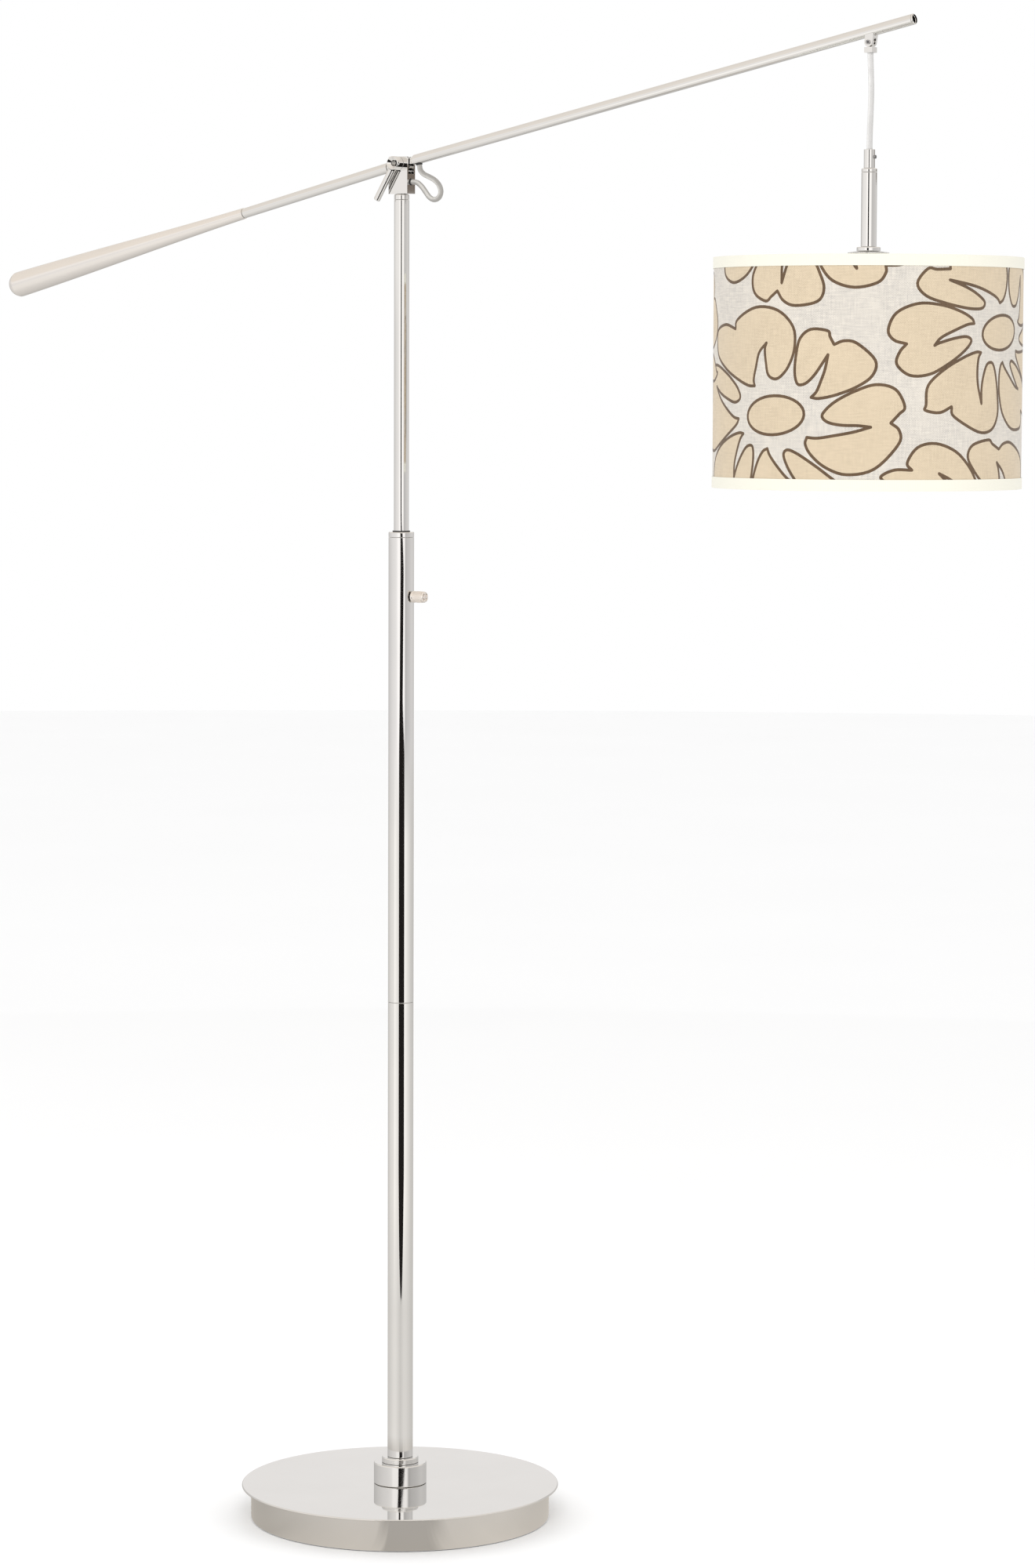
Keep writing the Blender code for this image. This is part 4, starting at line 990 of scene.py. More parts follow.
# ---------------------------------------------------------------- sub-assemblies
@dataclass
class Base:
    """The round base and what stands on it: plate, skirt, pad, weight, gland, drum and collar."""

    plate_edge: float = 0.7 * MM
    skirt_edge: float = 0.5 * MM
    drum_edge: float = 0.9 * MM
    inner_edge: float = 0.4 * MM
    cut_edge: float = 0.6 * MM
    groove_depth: float = 0.35 * MM
    groove_width: float = 0.5 * MM
    grooves: int = 2

    def build(self) -> None:
        """Makes the base's pieces."""
        turned(UP, self.plate_edge, ("base_plate", "base", "chrome", 192))
        turned(UP, self.skirt_edge, ("base_skirt", "base", "chrome", 192))
        turned(UP, self.drum_edge, ("pole_drum", "base", "chrome", 128))
        self.build_collar()
        turned(
            UP,
            self.inner_edge,
            ("floor_pad", "base", "felt", 96),
            ("base_weight", "base", "iron", 96),
            ("base_washer", "base", "steel", 64),
            ("base_nipple", "base", "steel", 32),
            ("pole_foot_plug", "base", "steel", 64),
        )
        softened("base_nut", self.cut_edge, "base", "steel", "steel")
        axis = Axis(Vector((0, 0, middle("cord_gland").z)), BACK, RIGHT)
        settle(returned("cord_gland", axis, self.cut_edge, 48), "base", "black_plastic", "cord_gland")

    def build_collar(self) -> None:
        """Makes the collar with the fine grooves round its side."""
        outline = outline_of("pole_collar", UP)
        side = max(point[0] for point in outline)
        bottom = min(point[1] for point in outline)
        top = max(point[1] for point in outline if point[0] > side - 0.01 * MM)
        bore = min(point[0] for point in outline)
        crown = max(point[1] for point in outline)
        rim = max(point[0] for point in outline if point[1] > crown - 0.01 * MM)
        fine = [(bore, bottom), (side, bottom)]
        for number in range(self.grooves):
            height = bottom + (top - bottom) * (number + 1) / (self.grooves + 1)
            half = self.groove_width / 2
            fine += [
                (side, height - half),
                (side - self.groove_depth, height - half * 0.4),
                (side - self.groove_depth, height + half * 0.4),
                (side, height + half),
            ]
        fine += [(side, top), (rim, crown), (bore, crown)]
        mesh = lathe("pole_collar_fine", rounded(fine, 0.25 * MM, True), UP, 128)
        settle(piece_of("pole_collar_fine", mesh), "base", "chrome", "pole_collar", slot="chrome")


@dataclass
class Pole:
    """The lower pole, its lock knob, the mast and the bushes between them."""

    tube_edge: float = 0.3 * MM
    # the thin black ring on top of the cap ring: its gap to the mast and the cap ring, its width and its height
    dark_ring_gap: float = 0.1 * MM
    dark_ring_width: float = 1.4 * MM
    dark_ring_height: float = 1.5 * MM
    knob_ribs: int = 30
    rib_size: float = 0.75 * MM
    cups: int = 4
    cup_radius: float = 1.7 * MM
    cup_ring: float = 0.52
    cup_depth: float = 1.6 * MM
    bore_share: float = 0.42
    bore_depth: float = 4 * MM

    def build(self) -> None:
        """Makes the pole's pieces."""
        turned(
            UP,
            self.tube_edge,
            ("pole_bottom_section", "base", "chrome", 96),
            ("pole_top_section", "base", "chrome", 96),
            ("pole_cap_ring", "base", "chrome", 96),
            ("pole_coupler", "base", "steel", 96),
            ("pole_guide_bush", "base", "nylon", 96),
            ("glide_bush", "glide", "nylon", 96),
            ("mast_tube", "mast", "chrome", 96),
            ("mast_ferrule", "mast", "chrome", 96),
            ("mast_foot", "mast", "steel", 96),
            ("mast_stop_ring", "mast", "steel", 96),
        )
        self.build_dark_ring()
        self.build_lock()

    def build_dark_ring(self) -> None:
        """Makes a thin black ring that sits round the mast on top of the pole's cap ring."""
        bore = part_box("mast_tube")[1][0] + self.dark_ring_gap
        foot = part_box("pole_cap_ring")[1][2] + self.dark_ring_gap
        rim, top = bore + self.dark_ring_width, foot + self.dark_ring_height
        outline = [(bore, foot), (rim, foot), (rim, top), (bore, top)]
        mesh = lathe("dark_cap_ring", rounded(outline, 0.4 * MM, True), UP, 96)
        settle(piece_of("dark_cap_ring", mesh), "base", "black_plastic", slot="black_plastic")

    def build_lock(self) -> None:
        """Makes the lock knob with its ribs, its washer, its screw and the boss."""
        height = middle("lock_screw").z
        turned(
            level(0, height),
            0.2 * MM,
            ("lock_boss", "base", "brass", 48),
            ("lock_screw", "lock_knob", "steel", 48),
            ("lock_knob_washer", "lock_knob", "black_plastic", 48),
        )
        low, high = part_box("lock_knob")
        radius = (high[2] - low[2]) / 2
        bore = radius * self.bore_share
        length = high[0] - low[0]
        waist = radius - self.rib_size * 0.6
        outline = [
            (bore, 0.0),
            (radius, 0.0),
            (radius, 2.0 * MM),
            (waist, 2.4 * MM),
            (waist, length - 1.8 * MM),
            (radius - 0.3 * MM, length - 1.4 * MM),
            (radius - 0.9 * MM, length),
            (0.0, length),
            (0.0, length - self.bore_depth),
            (bore, length - self.bore_depth),
        ]
        mesh = lathe("lock_knob_fine", rounded(outline, 0.35 * MM, True), level(low[0], height))
        face = Vector((high[0], 0, height))
        turns = [math.tau * (number + 0.5) / self.cups for number in range(self.cups)]
        ways = [FRONT * math.cos(turn) + SKY * math.sin(turn) for turn in turns]
        cups = [face + way * radius * self.cup_ring for way in ways]
        knob = drilled(piece_of("lock_knob_fine", mesh), cups, RIGHT, self.cup_radius, self.cup_depth)
        settle(knob, "lock_knob", "pearl_chrome", "lock_knob", slot="chrome")
        centre = Vector(((low[0] + high[0]) / 2, 0, height))
        place = Matrix.Translation(centre) @ Matrix.Rotation(math.radians(90), 4, "Y")
        ribs = RingTree("ring_of_ribs").make(
            "lock_knob_ribs",
            place,
            Count=self.knob_ribs,
            Radius=waist,
            Length=length - 5.2 * MM,
            Width=self.rib_size * 1.3,
            Depth=self.rib_size,
            Finish=finish_of("pearl_chrome"),
        )
        settle(ribs, "lock_knob", "pearl_chrome", slot="chrome")


@dataclass
class Head:
    """The fork block with its bolt, washers and cord bush, and the clamp lever."""

    block_edge: float = 0.5 * MM
    edge: float = 0.3 * MM

    def build(self) -> None:
        """Makes the head's pieces."""
        softened("head_block", self.block_edge, "mast", "chrome", "chrome")
        turned(
            Axis(Vector(JOINTS["boom_tilt"]["pos_m"]), BACK, RIGHT),
            self.edge,
            ("pivot_bolt", "mast", "chrome", 96),
            ("friction_washer_back", "mast", "nylon", 96),
            ("friction_washer_front", "mast", "nylon", 96),
            ("lever_hub", "clamp_lever", "chrome", 96),
        )
        bush = returned("head_cord_bush", level(0, middle("head_cord_bush").z), self.edge, 48)
        settle(bush, "mast", "black_plastic", "head_cord_bush")
        turned(long_axis("lever_bar"), 0.5 * MM, ("lever_bar", "clamp_lever", "chrome", 64))


@dataclass
class Boom:
    """The knuckle, the two boom tubes, the weighted handle, the tip cap and the hanger."""

    edge: float = 0.3 * MM
    small_edge: float = 0.25 * MM
    handle_steps: tuple[float, ...] = (0.25, 0.5, 0.75)
    handle_bend: float = math.radians(35)

    def build(self) -> None:
        """Makes the boom's pieces."""
        front, rear = long_axis("boom_front_tube"), long_axis("boom_rear_tube")
        for node, axis in (("boom_front_tube", front), ("boom_tip_cap", front), ("boom_rear_tube", rear)):
            turned(axis, self.edge, (node, "boom", "chrome", 96))
        self.build_handle(rear)
        softened("knuckle", 0.4 * MM, "boom", "chrome", "steel")
        bush = middle("boom_cord_bush")
        foot = front.origin + front.along * (bush - front.origin).dot(front.along)
        piece = returned("boom_cord_bush", Axis(foot, (bush - foot).normalized(), FRONT), self.small_edge, 48)
        settle(piece, "boom", "black_plastic", "boom_cord_bush")
        softened("hanger_fork", 0.5 * MM, "boom", "chrome", "chrome")
        swing = Axis(Vector(JOINTS["hanger_swing"]["pos_m"]), BACK, RIGHT)
        turned(swing, self.small_edge, ("hanger_pin", "boom", "steel", 48))
        softened("hanger_tongue", 0.4 * MM, "hanger", "chrome", "chrome")

    def build_handle(self, rear: Axis) -> None:
        """Makes the weighted handle with a smooth swell and a round end.

        Args:
            rear: The rear tube's axis.
        """
        outline = outline_of("handle_weight", rear)
        spots = [Vector(point) for point in outline]
        fine: list[Point] = []
        last = len(outline) - 1
        for index, (here, there) in enumerate(zip(spots, spots[1:])):
            fine.append(outline[index])
            before, beyond = spots[max(index - 1, 0)], spots[min(index + 2, last)]
            joins = [join for join in (here - before, beyond - there) if join.length > TINY]
            bend = max((join.angle(there - here, 0.0) for join in joins), default=0.0)
            if min(outline[index][0], outline[index + 1][0]) < ON_AXIS or bend > self.handle_bend:
                continue
            for step in self.handle_steps:
                spot = between(before, here, there, beyond, step)
                fine.append((max(spot.x, 0.0), spot.y))
        fine.append(outline[-1])
        piece = piece_of("handle_weight_fine", lathe("handle_weight_fine", fine, rear))
        settle(piece, "boom", "satin_chrome", "handle_weight", slot="chrome")


# ---------------------------------------------------------------- cords
DENSE_STEPS = 24
CORD_SIDES = 24


def flowing(points: list[Vector], spacing: float) -> list[Vector]:
    """A smooth line through points, with even steps.

    Args:
        points: The route's own points.
        spacing: The step between the line's points.

    Returns:
        The line's points, with the route's first and last among them.
    """
    dense = [*curved(points, DENSE_STEPS), points[-1]]
    reach = [0.0]
    for here, there in zip(dense, dense[1:]):
        reach.append(reach[-1] + (there - here).length)
    count = max(round(reach[-1] / spacing), 2)
    wanted = np.linspace(0.0, reach[-1], count + 1)
    axes = [np.interp(wanted, reach, [point[axis] for point in dense]) for axis in range(3)]
    return [Vector(spot) for spot in zip(*axes)]


def length_of(line: list[Vector]) -> float:
    """The length of a line of points."""
    return sum((there - here).length for here, there in zip(line, line[1:]))


def swept(name: str, line: list[Vector], radius: float) -> bpy.types.Mesh:
    """A round closed tube along a line, with its run and its turn in the "run" UV map.

    Args:
        name: The mesh's name.
        line: The centreline's points.
        radius: The tube's radius.

    Returns:
        The mesh.
    """
    shape = bmesh.new()
    run = shape.loops.layers.uv.new("run")
    across = Vector((0.0, 1.0, 0.0))
    rings, reach = [], [0.0]
    sides = CORD_SIDES
    turns = [math.tau * side / sides for side in range(sides)]
    for index, point in enumerate(line):
        along = (line[min(index + 1, len(line) - 1)] - line[max(index - 1, 0)]).normalized()
        across = (across - along * across.dot(along)).normalized()
        up = along.cross(across)
        ways = [across * math.cos(turn) + up * math.sin(turn) for turn in turns]
        rings.append([shape.verts.new(point + way * radius) for way in ways])
        if index:
            reach.append(reach[-1] + (point - line[index - 1]).length)
    for low, high, start, end in zip(rings, rings[1:], reach, reach[1:]):
        for side in range(sides):
            after = (side + 1) % sides
            wall = shape.faces.new((low[side], low[after], high[after], high[side]))
            marks = ((start, side), (start, side + 1), (end, side + 1), (end, side))
            for corner, (place, turn) in zip(wall.loops, marks):
                corner[run].uv = (place, turn / sides)
    for ring, place in ((rings[0][::-1], 0.0), (rings[-1], reach[-1])):
        for corner in shape.faces.new(ring).loops:
            corner[run].uv = (place, 0.0)
    bmesh.ops.recalc_face_normals(shape, faces=shape.faces)
    return smoothed(shape, name, 60.0)


@dataclass
class Cords:
    """The loop of lead at the head, and the lead that the pendant hangs on."""

    loop_radius: float = 3.1 * MM
    drop_radius: float = 3.2 * MM
    loop_route: tuple[Point, ...] = (
        (25.4, 1617.7), (27.0, 1611.6), (32.2, 1606.8), (39.6, 1603.6), (47.2, 1599.8),
        (53.6, 1593.8), (56.2, 1586.4), (53.6, 1579.6), (47.0, 1577.0), (40.4, 1579.6),
        (34.8, 1585.6), (29.4, 1592.0), (22.4, 1597.2), (14.8, 1598.4),
    )
    loop_fixed: Point3 = (16.0 * MM, 0.0, 1600.9 * MM)
    loop_led: Point3 = (24.1 * MM, 0.0, 1617.0 * MM)
    drop_bow: tuple[Point, ...] = (
        (8.0, 0.1), (26.0, 0.9), (46.0, 1.5), (65.1, 1.1), (87.1, 0.3), (101.1, 0.0),
    )

    def build(self) -> None:
        """Makes both cords."""
        loop = flowing([Vector((x * MM, 0.0, z * MM)) for x, z in self.loop_route], 1.2 * MM)
        piece = piece_of("cord_loop_fine", swept("cord_loop_fine", loop, self.loop_radius))
        piece.data.materials.append(finish_of("cord"))
        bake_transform(piece)
        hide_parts("cord_loop")
        self.declare(piece, loop)
        low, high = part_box("pendant_cord")
        x = JOINTS["hanger_swing"]["pos_m"][0]
        route = [Vector((x, 0.0, high[2]))]
        route += [Vector((x + out * MM, 0.0, high[2] - down * MM)) for down, out in self.drop_bow]
        route.append(Vector((x, 0.0, low[2])))
        drop = flowing(route, 2.5 * MM)
        piece = piece_of("pendant_cord_fine", swept("pendant_cord_fine", drop, self.drop_radius))
        settle(piece, "pendant", "pendant_cord", "pendant_cord", slot="cord")
        self.declare(piece, drop)

    def declare(self, piece: bpy.types.Object, line: list[Vector]) -> None:
        """Logs how long a cord is, from the line that it follows.

        Args:
            piece: The cord's piece.
            line: Its centreline's points.
        """
        LOG.info("%s is %.0f mm long", piece.name, length_of(line) / MM)


# ---------------------------------------------------------------- the printed shade
def flowing_outline(points: list[tuple[float, float, bool]], steps: int) -> tuple[list[Vector], list[int]]:
    """A closed outline that flows between its sharp corners.

    Args:
        points: The (x, y, sharp) points, the first of them sharp.
        steps: The steps between two points.

    Returns:
        The outline's points, and the places of its sharp corners among them.
    """
    ring = [*points, points[0]]
    corners = [index for index, point in enumerate(ring) if point[2]]
    made: list[Vector] = []
    sharp: list[int] = []
    for first, last in zip(corners, corners[1:]):
        sharp.append(len(made))
        made += curved([Vector(point[:2]) for point in ring[first : last + 1]], steps)
    return made, sharp


@dataclass(frozen=True)
class Bloom:
    """One large outlined flower on the flat cloth, with its petals round an oval middle."""

    across: float
    upward: float
    reach: float = 172.0 * MM
    turn: float = 0.0
    petals: int = 6
    squash: float = 0.66
    seed: int = 1
    middle_size: float = 0.225
    middle_squash: float = 0.82
    middle_steps: int = 36
    petal_fill: float = 0.94
    petal_steps: int = 5
    corners: tuple[int, ...] = (0, 8, 20)

    def petal(self, centre: float, half: float, rng: np.random.Generator) -> list[tuple[float, float, bool]]:
        """A petal's points round the flower's middle, in shares of its reach.

        Args:
            centre: The petal's direction.
            half: Half the angle that it fills.
            rng: What varies it.

        Returns:
            The (x, y, sharp) points.
        """
        flip = 1.0 if rng.random() < 0.5 else -1.0
        long = rng.uniform(0.84, 1.12)
        notch = rng.uniform(-0.30, 0.22)
        deep = rng.uniform(0.66, 0.80)
        bow = rng.uniform(0.04, 0.30)
        form = (
            (0.32, -0.56), (0.36, -0.82), (0.48, -0.98), (0.66, -1.02), (0.84, -0.94), (0.97, -0.68),
            (1.01, -0.36 + notch), (0.97, -0.12 + notch), (0.88, 0.03 + notch), (0.95, 0.17 + notch),
            (1.01, 0.44), (0.97, 0.76), (0.83, 0.97), (0.64, 1.02), (0.47, 0.94), (0.37, 0.72),
            (0.345, 0.46), (0.39, 0.24), (0.50, 0.12 + bow * 0.6), (0.62, 0.09 + bow), (deep, bow * 1.7),
            (0.60, -0.08 + bow), (0.48, -0.22 + bow * 0.5), (0.38, -0.42),
        )
        made = []
        for index, (out, share) in enumerate(form):
            far = out if out < 0.4 else out * (1 + (long - 1) * (out - 0.3) / 0.7)
            angle = centre + flip * share * half + 0.22 * (out - 0.3)
            made.append((far * math.cos(angle), far * math.sin(angle), index in self.corners))
        return made if flip > 0 else [made[0], *made[:0:-1]]

    def drawn(self) -> tuple[list[list[Vector]], list[list[int]]]:
        """The outlines on the cloth in metres, and the places of each one's sharp corners.

        Returns:
            The closed outlines, then the places, one list for each outline.
        """
        rng = np.random.default_rng(self.seed)
        outlines, corners = [], []
        shares = rng.uniform(0.72, 1.28, self.petals)
        shares *= math.tau / shares.sum()
        start = self.turn
        for width in shares:
            petal = self.petal(start + width / 2, width / 2 * self.petal_fill, rng)
            outline, sharp = flowing_outline(petal, self.petal_steps)
            outlines.append(outline)
            corners.append(sharp)
            start += width
        lean = Matrix.Rotation(rng.uniform(-0.5, 0.5), 2)
        turns = [math.tau * step / self.middle_steps for step in range(self.middle_steps)]
        size, squash = self.middle_size, self.middle_squash
        oval = [lean @ Vector((math.cos(turn) * size, math.sin(turn) * size * squash)) for turn in turns]
        outlines.append(oval)
        corners.append([])
        centre = Vector((self.across, self.upward))
        stretch = Vector((1.0, self.squash))
        return [[centre + p * self.reach * stretch for p in outline] for outline in outlines], corners


@dataclass
class Print:
    """The shade's printed cloth: flat shapes cut into petals, lines and ground, and wrapped on the drum."""

    radius: float
    bottom: float
    top: float
    centre: Vector
    thickness: float = 0.4 * MM
    line_width: float = 3.3 * MM
    front: float = math.radians(-60.3)
    columns: int = 120
    corner_sides: int = 8
    line_grip: float = 0.995
    least_run: float = 1e-18
    least_gap: float = 1e-6
    blooms: tuple[Bloom, ...] = (
        Bloom(-108 * MM, -46 * MM, turn=0.35, seed=11),
        Bloom(-70 * MM, 176 * MM, turn=0.9, seed=23, reach=158 * MM),
        Bloom(172 * MM, 44 * MM, turn=0.1, seed=5, reach=152 * MM),
        Bloom(158 * MM, -164 * MM, turn=0.55, seed=31, reach=156 * MM),
        Bloom(436 * MM, -52 * MM, turn=1.2, seed=47),
        Bloom(452 * MM, 168 * MM, turn=0.2, seed=53, reach=158 * MM),
        Bloom(-366 * MM, 52 * MM, turn=0.75, seed=61, reach=158 * MM),
        Bloom(-384 * MM, -160 * MM, turn=0.15, seed=71, reach=158 * MM),
    )

    def band(self, outline: list[Vector], sharp: list[int]) -> list[list[Vector]]:
        """The line drawn round an outline, as flat convex pieces.

        Args:
            outline: The closed outline.
            sharp: The places of its sharp corners.

        Returns:
            The pieces.
        """
        half = self.line_width / 2
        count = len(outline)
        starts = sharp or [0]
        pieces = []
        for first, last in zip(starts, [*starts[1:], starts[0] + count]):
            run = [outline[index % count] for index in range(first, last + 1)]
            sides = []
            for index, point in enumerate(run):
                before = run[index - 1] if index else (run[-2] if not sharp else point)
                after = run[index + 1] if index < len(run) - 1 else (run[1] if not sharp else point)
                way = (after - before).normalized()
                normal = Vector((-way.y, way.x)) * half
                sides.append((point + normal, point - normal))
            for (left, right), (far_left, far_right) in zip(sides, sides[1:]):
                pieces.append([left, right, far_right, far_left])
        for index in sharp:
            spokes = [math.tau * step / self.corner_sides for step in range(self.corner_sides)]
            pieces.append([outline[index] + Vector((math.cos(t), math.sin(t))) * half for t in spokes])
        return pieces

    def inked(self, spots: np.ndarray, layers: list[list[list[Vector]]]) -> list[Ink]:
        """The ink at each spot of the cloth.

        Args:
            spots: The places on the cloth.
            layers: Each flower's closed outlines, a later flower over an earlier one.

        Returns:
            The inks, in the order of the spots.
        """
        inks = np.full(len(spots), Ink.GROUND, dtype=object)
        reach = self.line_width / 2
        for outlines in layers:
            lines = np.zeros(len(spots), dtype=bool)
            for outline in outlines:
                ring = np.array([tuple(point) for point in outline])
                low, high = ring.min(axis=0) - reach, ring.max(axis=0) + reach
                near = np.flatnonzero(((spots > low) & (spots < high)).all(axis=1))
                if not len(near):
                    continue
                here, after = ring, np.roll(ring, -1, axis=0)
                x, y = spots[near, 0][:, None], spots[near, 1][:, None]
                spans = (here[:, 1] > y) != (after[:, 1] > y)
                rise = np.where(after[:, 1] == here[:, 1], 1.0, after[:, 1] - here[:, 1])
                crossed = x < here[:, 0] + (y - here[:, 1]) / rise * (after[:, 0] - here[:, 0])
                inside = (spans & crossed).sum(axis=1) % 2 == 1
                run = after - here
                size = np.maximum((run**2).sum(axis=1), self.least_run)
                share = (((x - here[:, 0]) * run[:, 0] + (y - here[:, 1]) * run[:, 1]) / size).clip(0.0, 1.0)
                gap = np.hypot(x - here[:, 0] - share * run[:, 0], y - here[:, 1] - share * run[:, 1])
                lines[near[gap.min(axis=1) < reach * self.line_grip]] = True
                inks[near[inside]] = Ink.PETAL
            inks[lines] = Ink.LINE
        return list(inks)

    def build(self) -> None:
        """Cuts the cloth into its inks and wraps each on the drum."""
        around = math.tau * self.radius
        middle_height = (self.bottom + self.top) / 2
        low, high = self.bottom - middle_height, self.top - middle_height
        points: list[Vector] = []
        edges: list[tuple[int, int]] = []

        def cut(shape: list[Vector]) -> None:
            """Cuts the cloth along a closed shape.

            Args:
                shape: The shape's points.
            """
            start = len(points)
            points.extend(shape)
            edges.extend((start + index, start + (index + 1) % len(shape)) for index in range(len(shape)))

        edge = around / 2
        cut([Vector((-edge, low)), Vector((edge, low)), Vector((edge, high)), Vector((-edge, high))])
        layers: list[list[list[Vector]]] = []
        for bloom in self.blooms:
            outlines, corners = bloom.drawn()
            for shift in (-around, 0.0, around):
                if not -edge - bloom.reach * 1.2 < bloom.across + shift < edge + bloom.reach * 1.2:
                    continue
                moved = [[point + Vector((shift, 0.0)) for point in outline] for outline in outlines]
                layers.append(moved)
                for outline, sharp in zip(moved, corners):
                    for piece in self.band(outline, sharp):
                        cut(piece)
        for column in range(1, self.columns):
            across = -edge + around * column / self.columns
            edges.append((len(points), len(points) + 1))
            points += [Vector((across, low)), Vector((across, high))]
        flat, _, made, _, _, _ = geometry.delaunay_2d_cdt(points, edges, [], 0, self.least_gap, False)
        corners_of = np.array([[tuple(flat[index]) for index in corners] for corners in made])
        spots = corners_of.mean(axis=1)
        inks = self.inked(spots, layers)
        LOG.info("the print is cut into %d triangles", len(made))
        sorted_faces: dict[Ink, list[tuple[int, ...]]] = {ink: [] for ink in Ink}
        for corners, spot, ink in zip(made, spots, inks):
            if abs(spot[0]) < edge and low < spot[1] < high:
                a, b, c = (flat[index] for index in corners)
                turned = (b - a).cross(c - a) > 0
                sorted_faces[ink].append(tuple(corners) if turned else tuple(corners[::-1]))
        for ink, chosen in sorted_faces.items():
            mesh = self.wrapped(f"shade_{ink.value}", flat, chosen, middle_height)
            nodes = ("shade_drum",) if ink is Ink.GROUND else ()
            piece = piece_of(f"shade_{ink.value}", mesh)
            settle(piece, "pendant", f"linen_{ink.value}", *nodes, slot="printed_linen")

    def wrapped(
        self, name: str, flat: list[Vector], faces: list[tuple[int, ...]], height: float
    ) -> bpy.types.Mesh:
        """Wraps flat faces on the drum as a closed skin.

        Args:
            name: The mesh's name.
            flat: The flat points.
            faces: The faces, anticlockwise as seen from outside.
            height: The height of the flat cloth's middle.

        Returns:
            The mesh, with the cloth's own place in its "cloth" UV map.
        """
        shape = bmesh.new()
        used = sorted({index for face in faces for index in face})
        skins = []
        seam = math.pi * self.radius
        for radius in (self.radius, self.radius - self.thickness):
            skin = {}
            for index in used:
                spot = flat[index]
                angle = self.front + min(max(spot.x, -seam), seam) / self.radius
                place = Vector((radius * math.cos(angle), radius * math.sin(angle), height + spot.y))
                skin[index] = shape.verts.new(self.centre + place)
            skins.append(skin)
        outer, inner = skins
        cloth = shape.loops.layers.uv.new("cloth")
        borders = {}
        for face in faces:
            front = shape.faces.new([outer[index] for index in face])
            back = shape.faces.new([inner[index] for index in reversed(face)])
            for made, order in ((front, face), (back, face[::-1])):
                for corner, index in zip(made.loops, order):
                    corner[cloth].uv = flat[index]
            for a, b in zip(face, face[1:] + face[:1]):
                if not borders.pop((b, a), None):
                    borders[(a, b)] = True
        for a, b in borders:
            wall = shape.faces.new((outer[b], outer[a], inner[a], inner[b]))
            for corner, index in zip(wall.loops, (b, a, a, b)):
                corner[cloth].uv = flat[index]
        bmesh.ops.remove_doubles(shape, verts=shape.verts, dist=0.001 * MM)
        mesh = bpy.data.meshes.new(name)
        shape.to_mesh(mesh)
        shape.free()
        mesh.shade_smooth()
        normals = []
        for polygon in mesh.polygons:
            radial = polygon.center - self.centre
            radial.z = 0.0
            facing = polygon.normal.dot(radial.normalized())
            for loop in polygon.loop_indices:
                out = mesh.vertices[mesh.loops[loop].vertex_index].co - self.centre
                out.z = 0.0
                smooth = out.normalized() * (1.0 if facing > 0 else -1.0)
                normals.append(smooth if abs(facing) > 0.9 else polygon.normal)
        mesh.normals_split_custom_set(normals)
        return mesh


def cloth_map(mesh: bpy.types.Mesh, centre: Vector, radius: float) -> None:
    """Gives a turned mesh a "cloth" UV map of its run round its axis and its height, in metres.

    Args:
        mesh: The mesh.
        centre: A point of its axis, at height 0.
        radius: The radius at which the run is measured.
    """
    layer = mesh.uv_layers.new(name="cloth")
    for polygon in mesh.polygons:
        here = polygon.center - centre
        base = math.atan2(here.y, here.x)
        for loop in polygon.loop_indices:
            out = mesh.vertices[mesh.loops[loop].vertex_index].co - centre
            turn = math.remainder(math.atan2(out.y, out.x) - base, math.tau)
            layer.data[loop].uv = ((base + turn) * radius, out.z)


@dataclass
class Pendant:
    """What hangs from the boom: sleeve, stem, seat, shade, socket and bulb."""

    backing_gap: float = 0.02 * MM

    def build(self) -> None:
        """Makes the pendant's pieces."""
        x = JOINTS["hanger_swing"]["pos_m"][0]
        turned(
            upright(x),
            0.3 * MM,
            ("cord_sleeve", "pendant", "chrome", 64),
            ("stem_ring", "pendant", "chrome", 96),
            ("stem_tube", "pendant", "chrome", 96),
            ("stem_seat", "pendant", "chrome", 128),
            ("shade_washer", "pendant", "chrome", 128),
            ("pendant_nipple", "pendant", "steel", 32),
            ("socket_shell", "pendant", "black_plastic", 96),
            ("socket_insulator", "pendant", "nylon", 48),
            ("lamp_cap", "pendant", "brass", 64),
            ("bulb_glass", "pendant", "opal_glass", 96),
        )
        turned(level(x, middle("sleeve_screw").z), 0.15 * MM, ("sleeve_screw", "pendant", "steel", 32))
        self.build_shade(x)

    def build_shade(self, x: float) -> None:
        """Makes the shade's cloth, liner and trims.

        Args:
            x: How far along the boom's plane the shade hangs.
        """
        axis = upright(x)
        centre = Vector((x, 0.0, 0.0))
        low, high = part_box("shade_drum")
        outer = (high[0] - low[0]) / 2
        bore = min(point[0] for point in outline_of("shade_drum", axis))
        cloth = Print(outer, low[2], high[2], centre)
        cloth.build()
        skin = outer - cloth.thickness - self.backing_gap
        outline = [(bore, low[2]), (skin, low[2]), (skin, high[2]), (bore, high[2])]
        mesh = lathe("shade_liner", outline, axis, 192)
        settle(piece_of("shade_liner", mesh), "pendant", "liner", slot="printed_linen")
        for node in ("shade_trim_top", "shade_trim_bottom"):
            piece = returned(node, axis, 0.2 * MM, 192)
            cloth_map(piece.data, centre, outer)
            settle(piece, "pendant", "cream_trim", node, slot="cream_trim")


@dataclass
class Plain:
    """The CAD nodes that keep their shape and only take a finish."""

    cloth_slot: str = "printed_linen"
    cloth_finish: str = "liner"

    def build(self) -> None:
        """Dresses each CAD node that still shows."""
        for part in frame["record"]["subparts"]:
            node, slot = NODES[part["node"]], part["material_slot"]
            finish = finish_of(self.cloth_finish if slot == self.cloth_slot else slot)
            node.data.materials.clear()
            node.data.materials.append(finish)
            for entry in node.material_slots:
                entry.material = finish


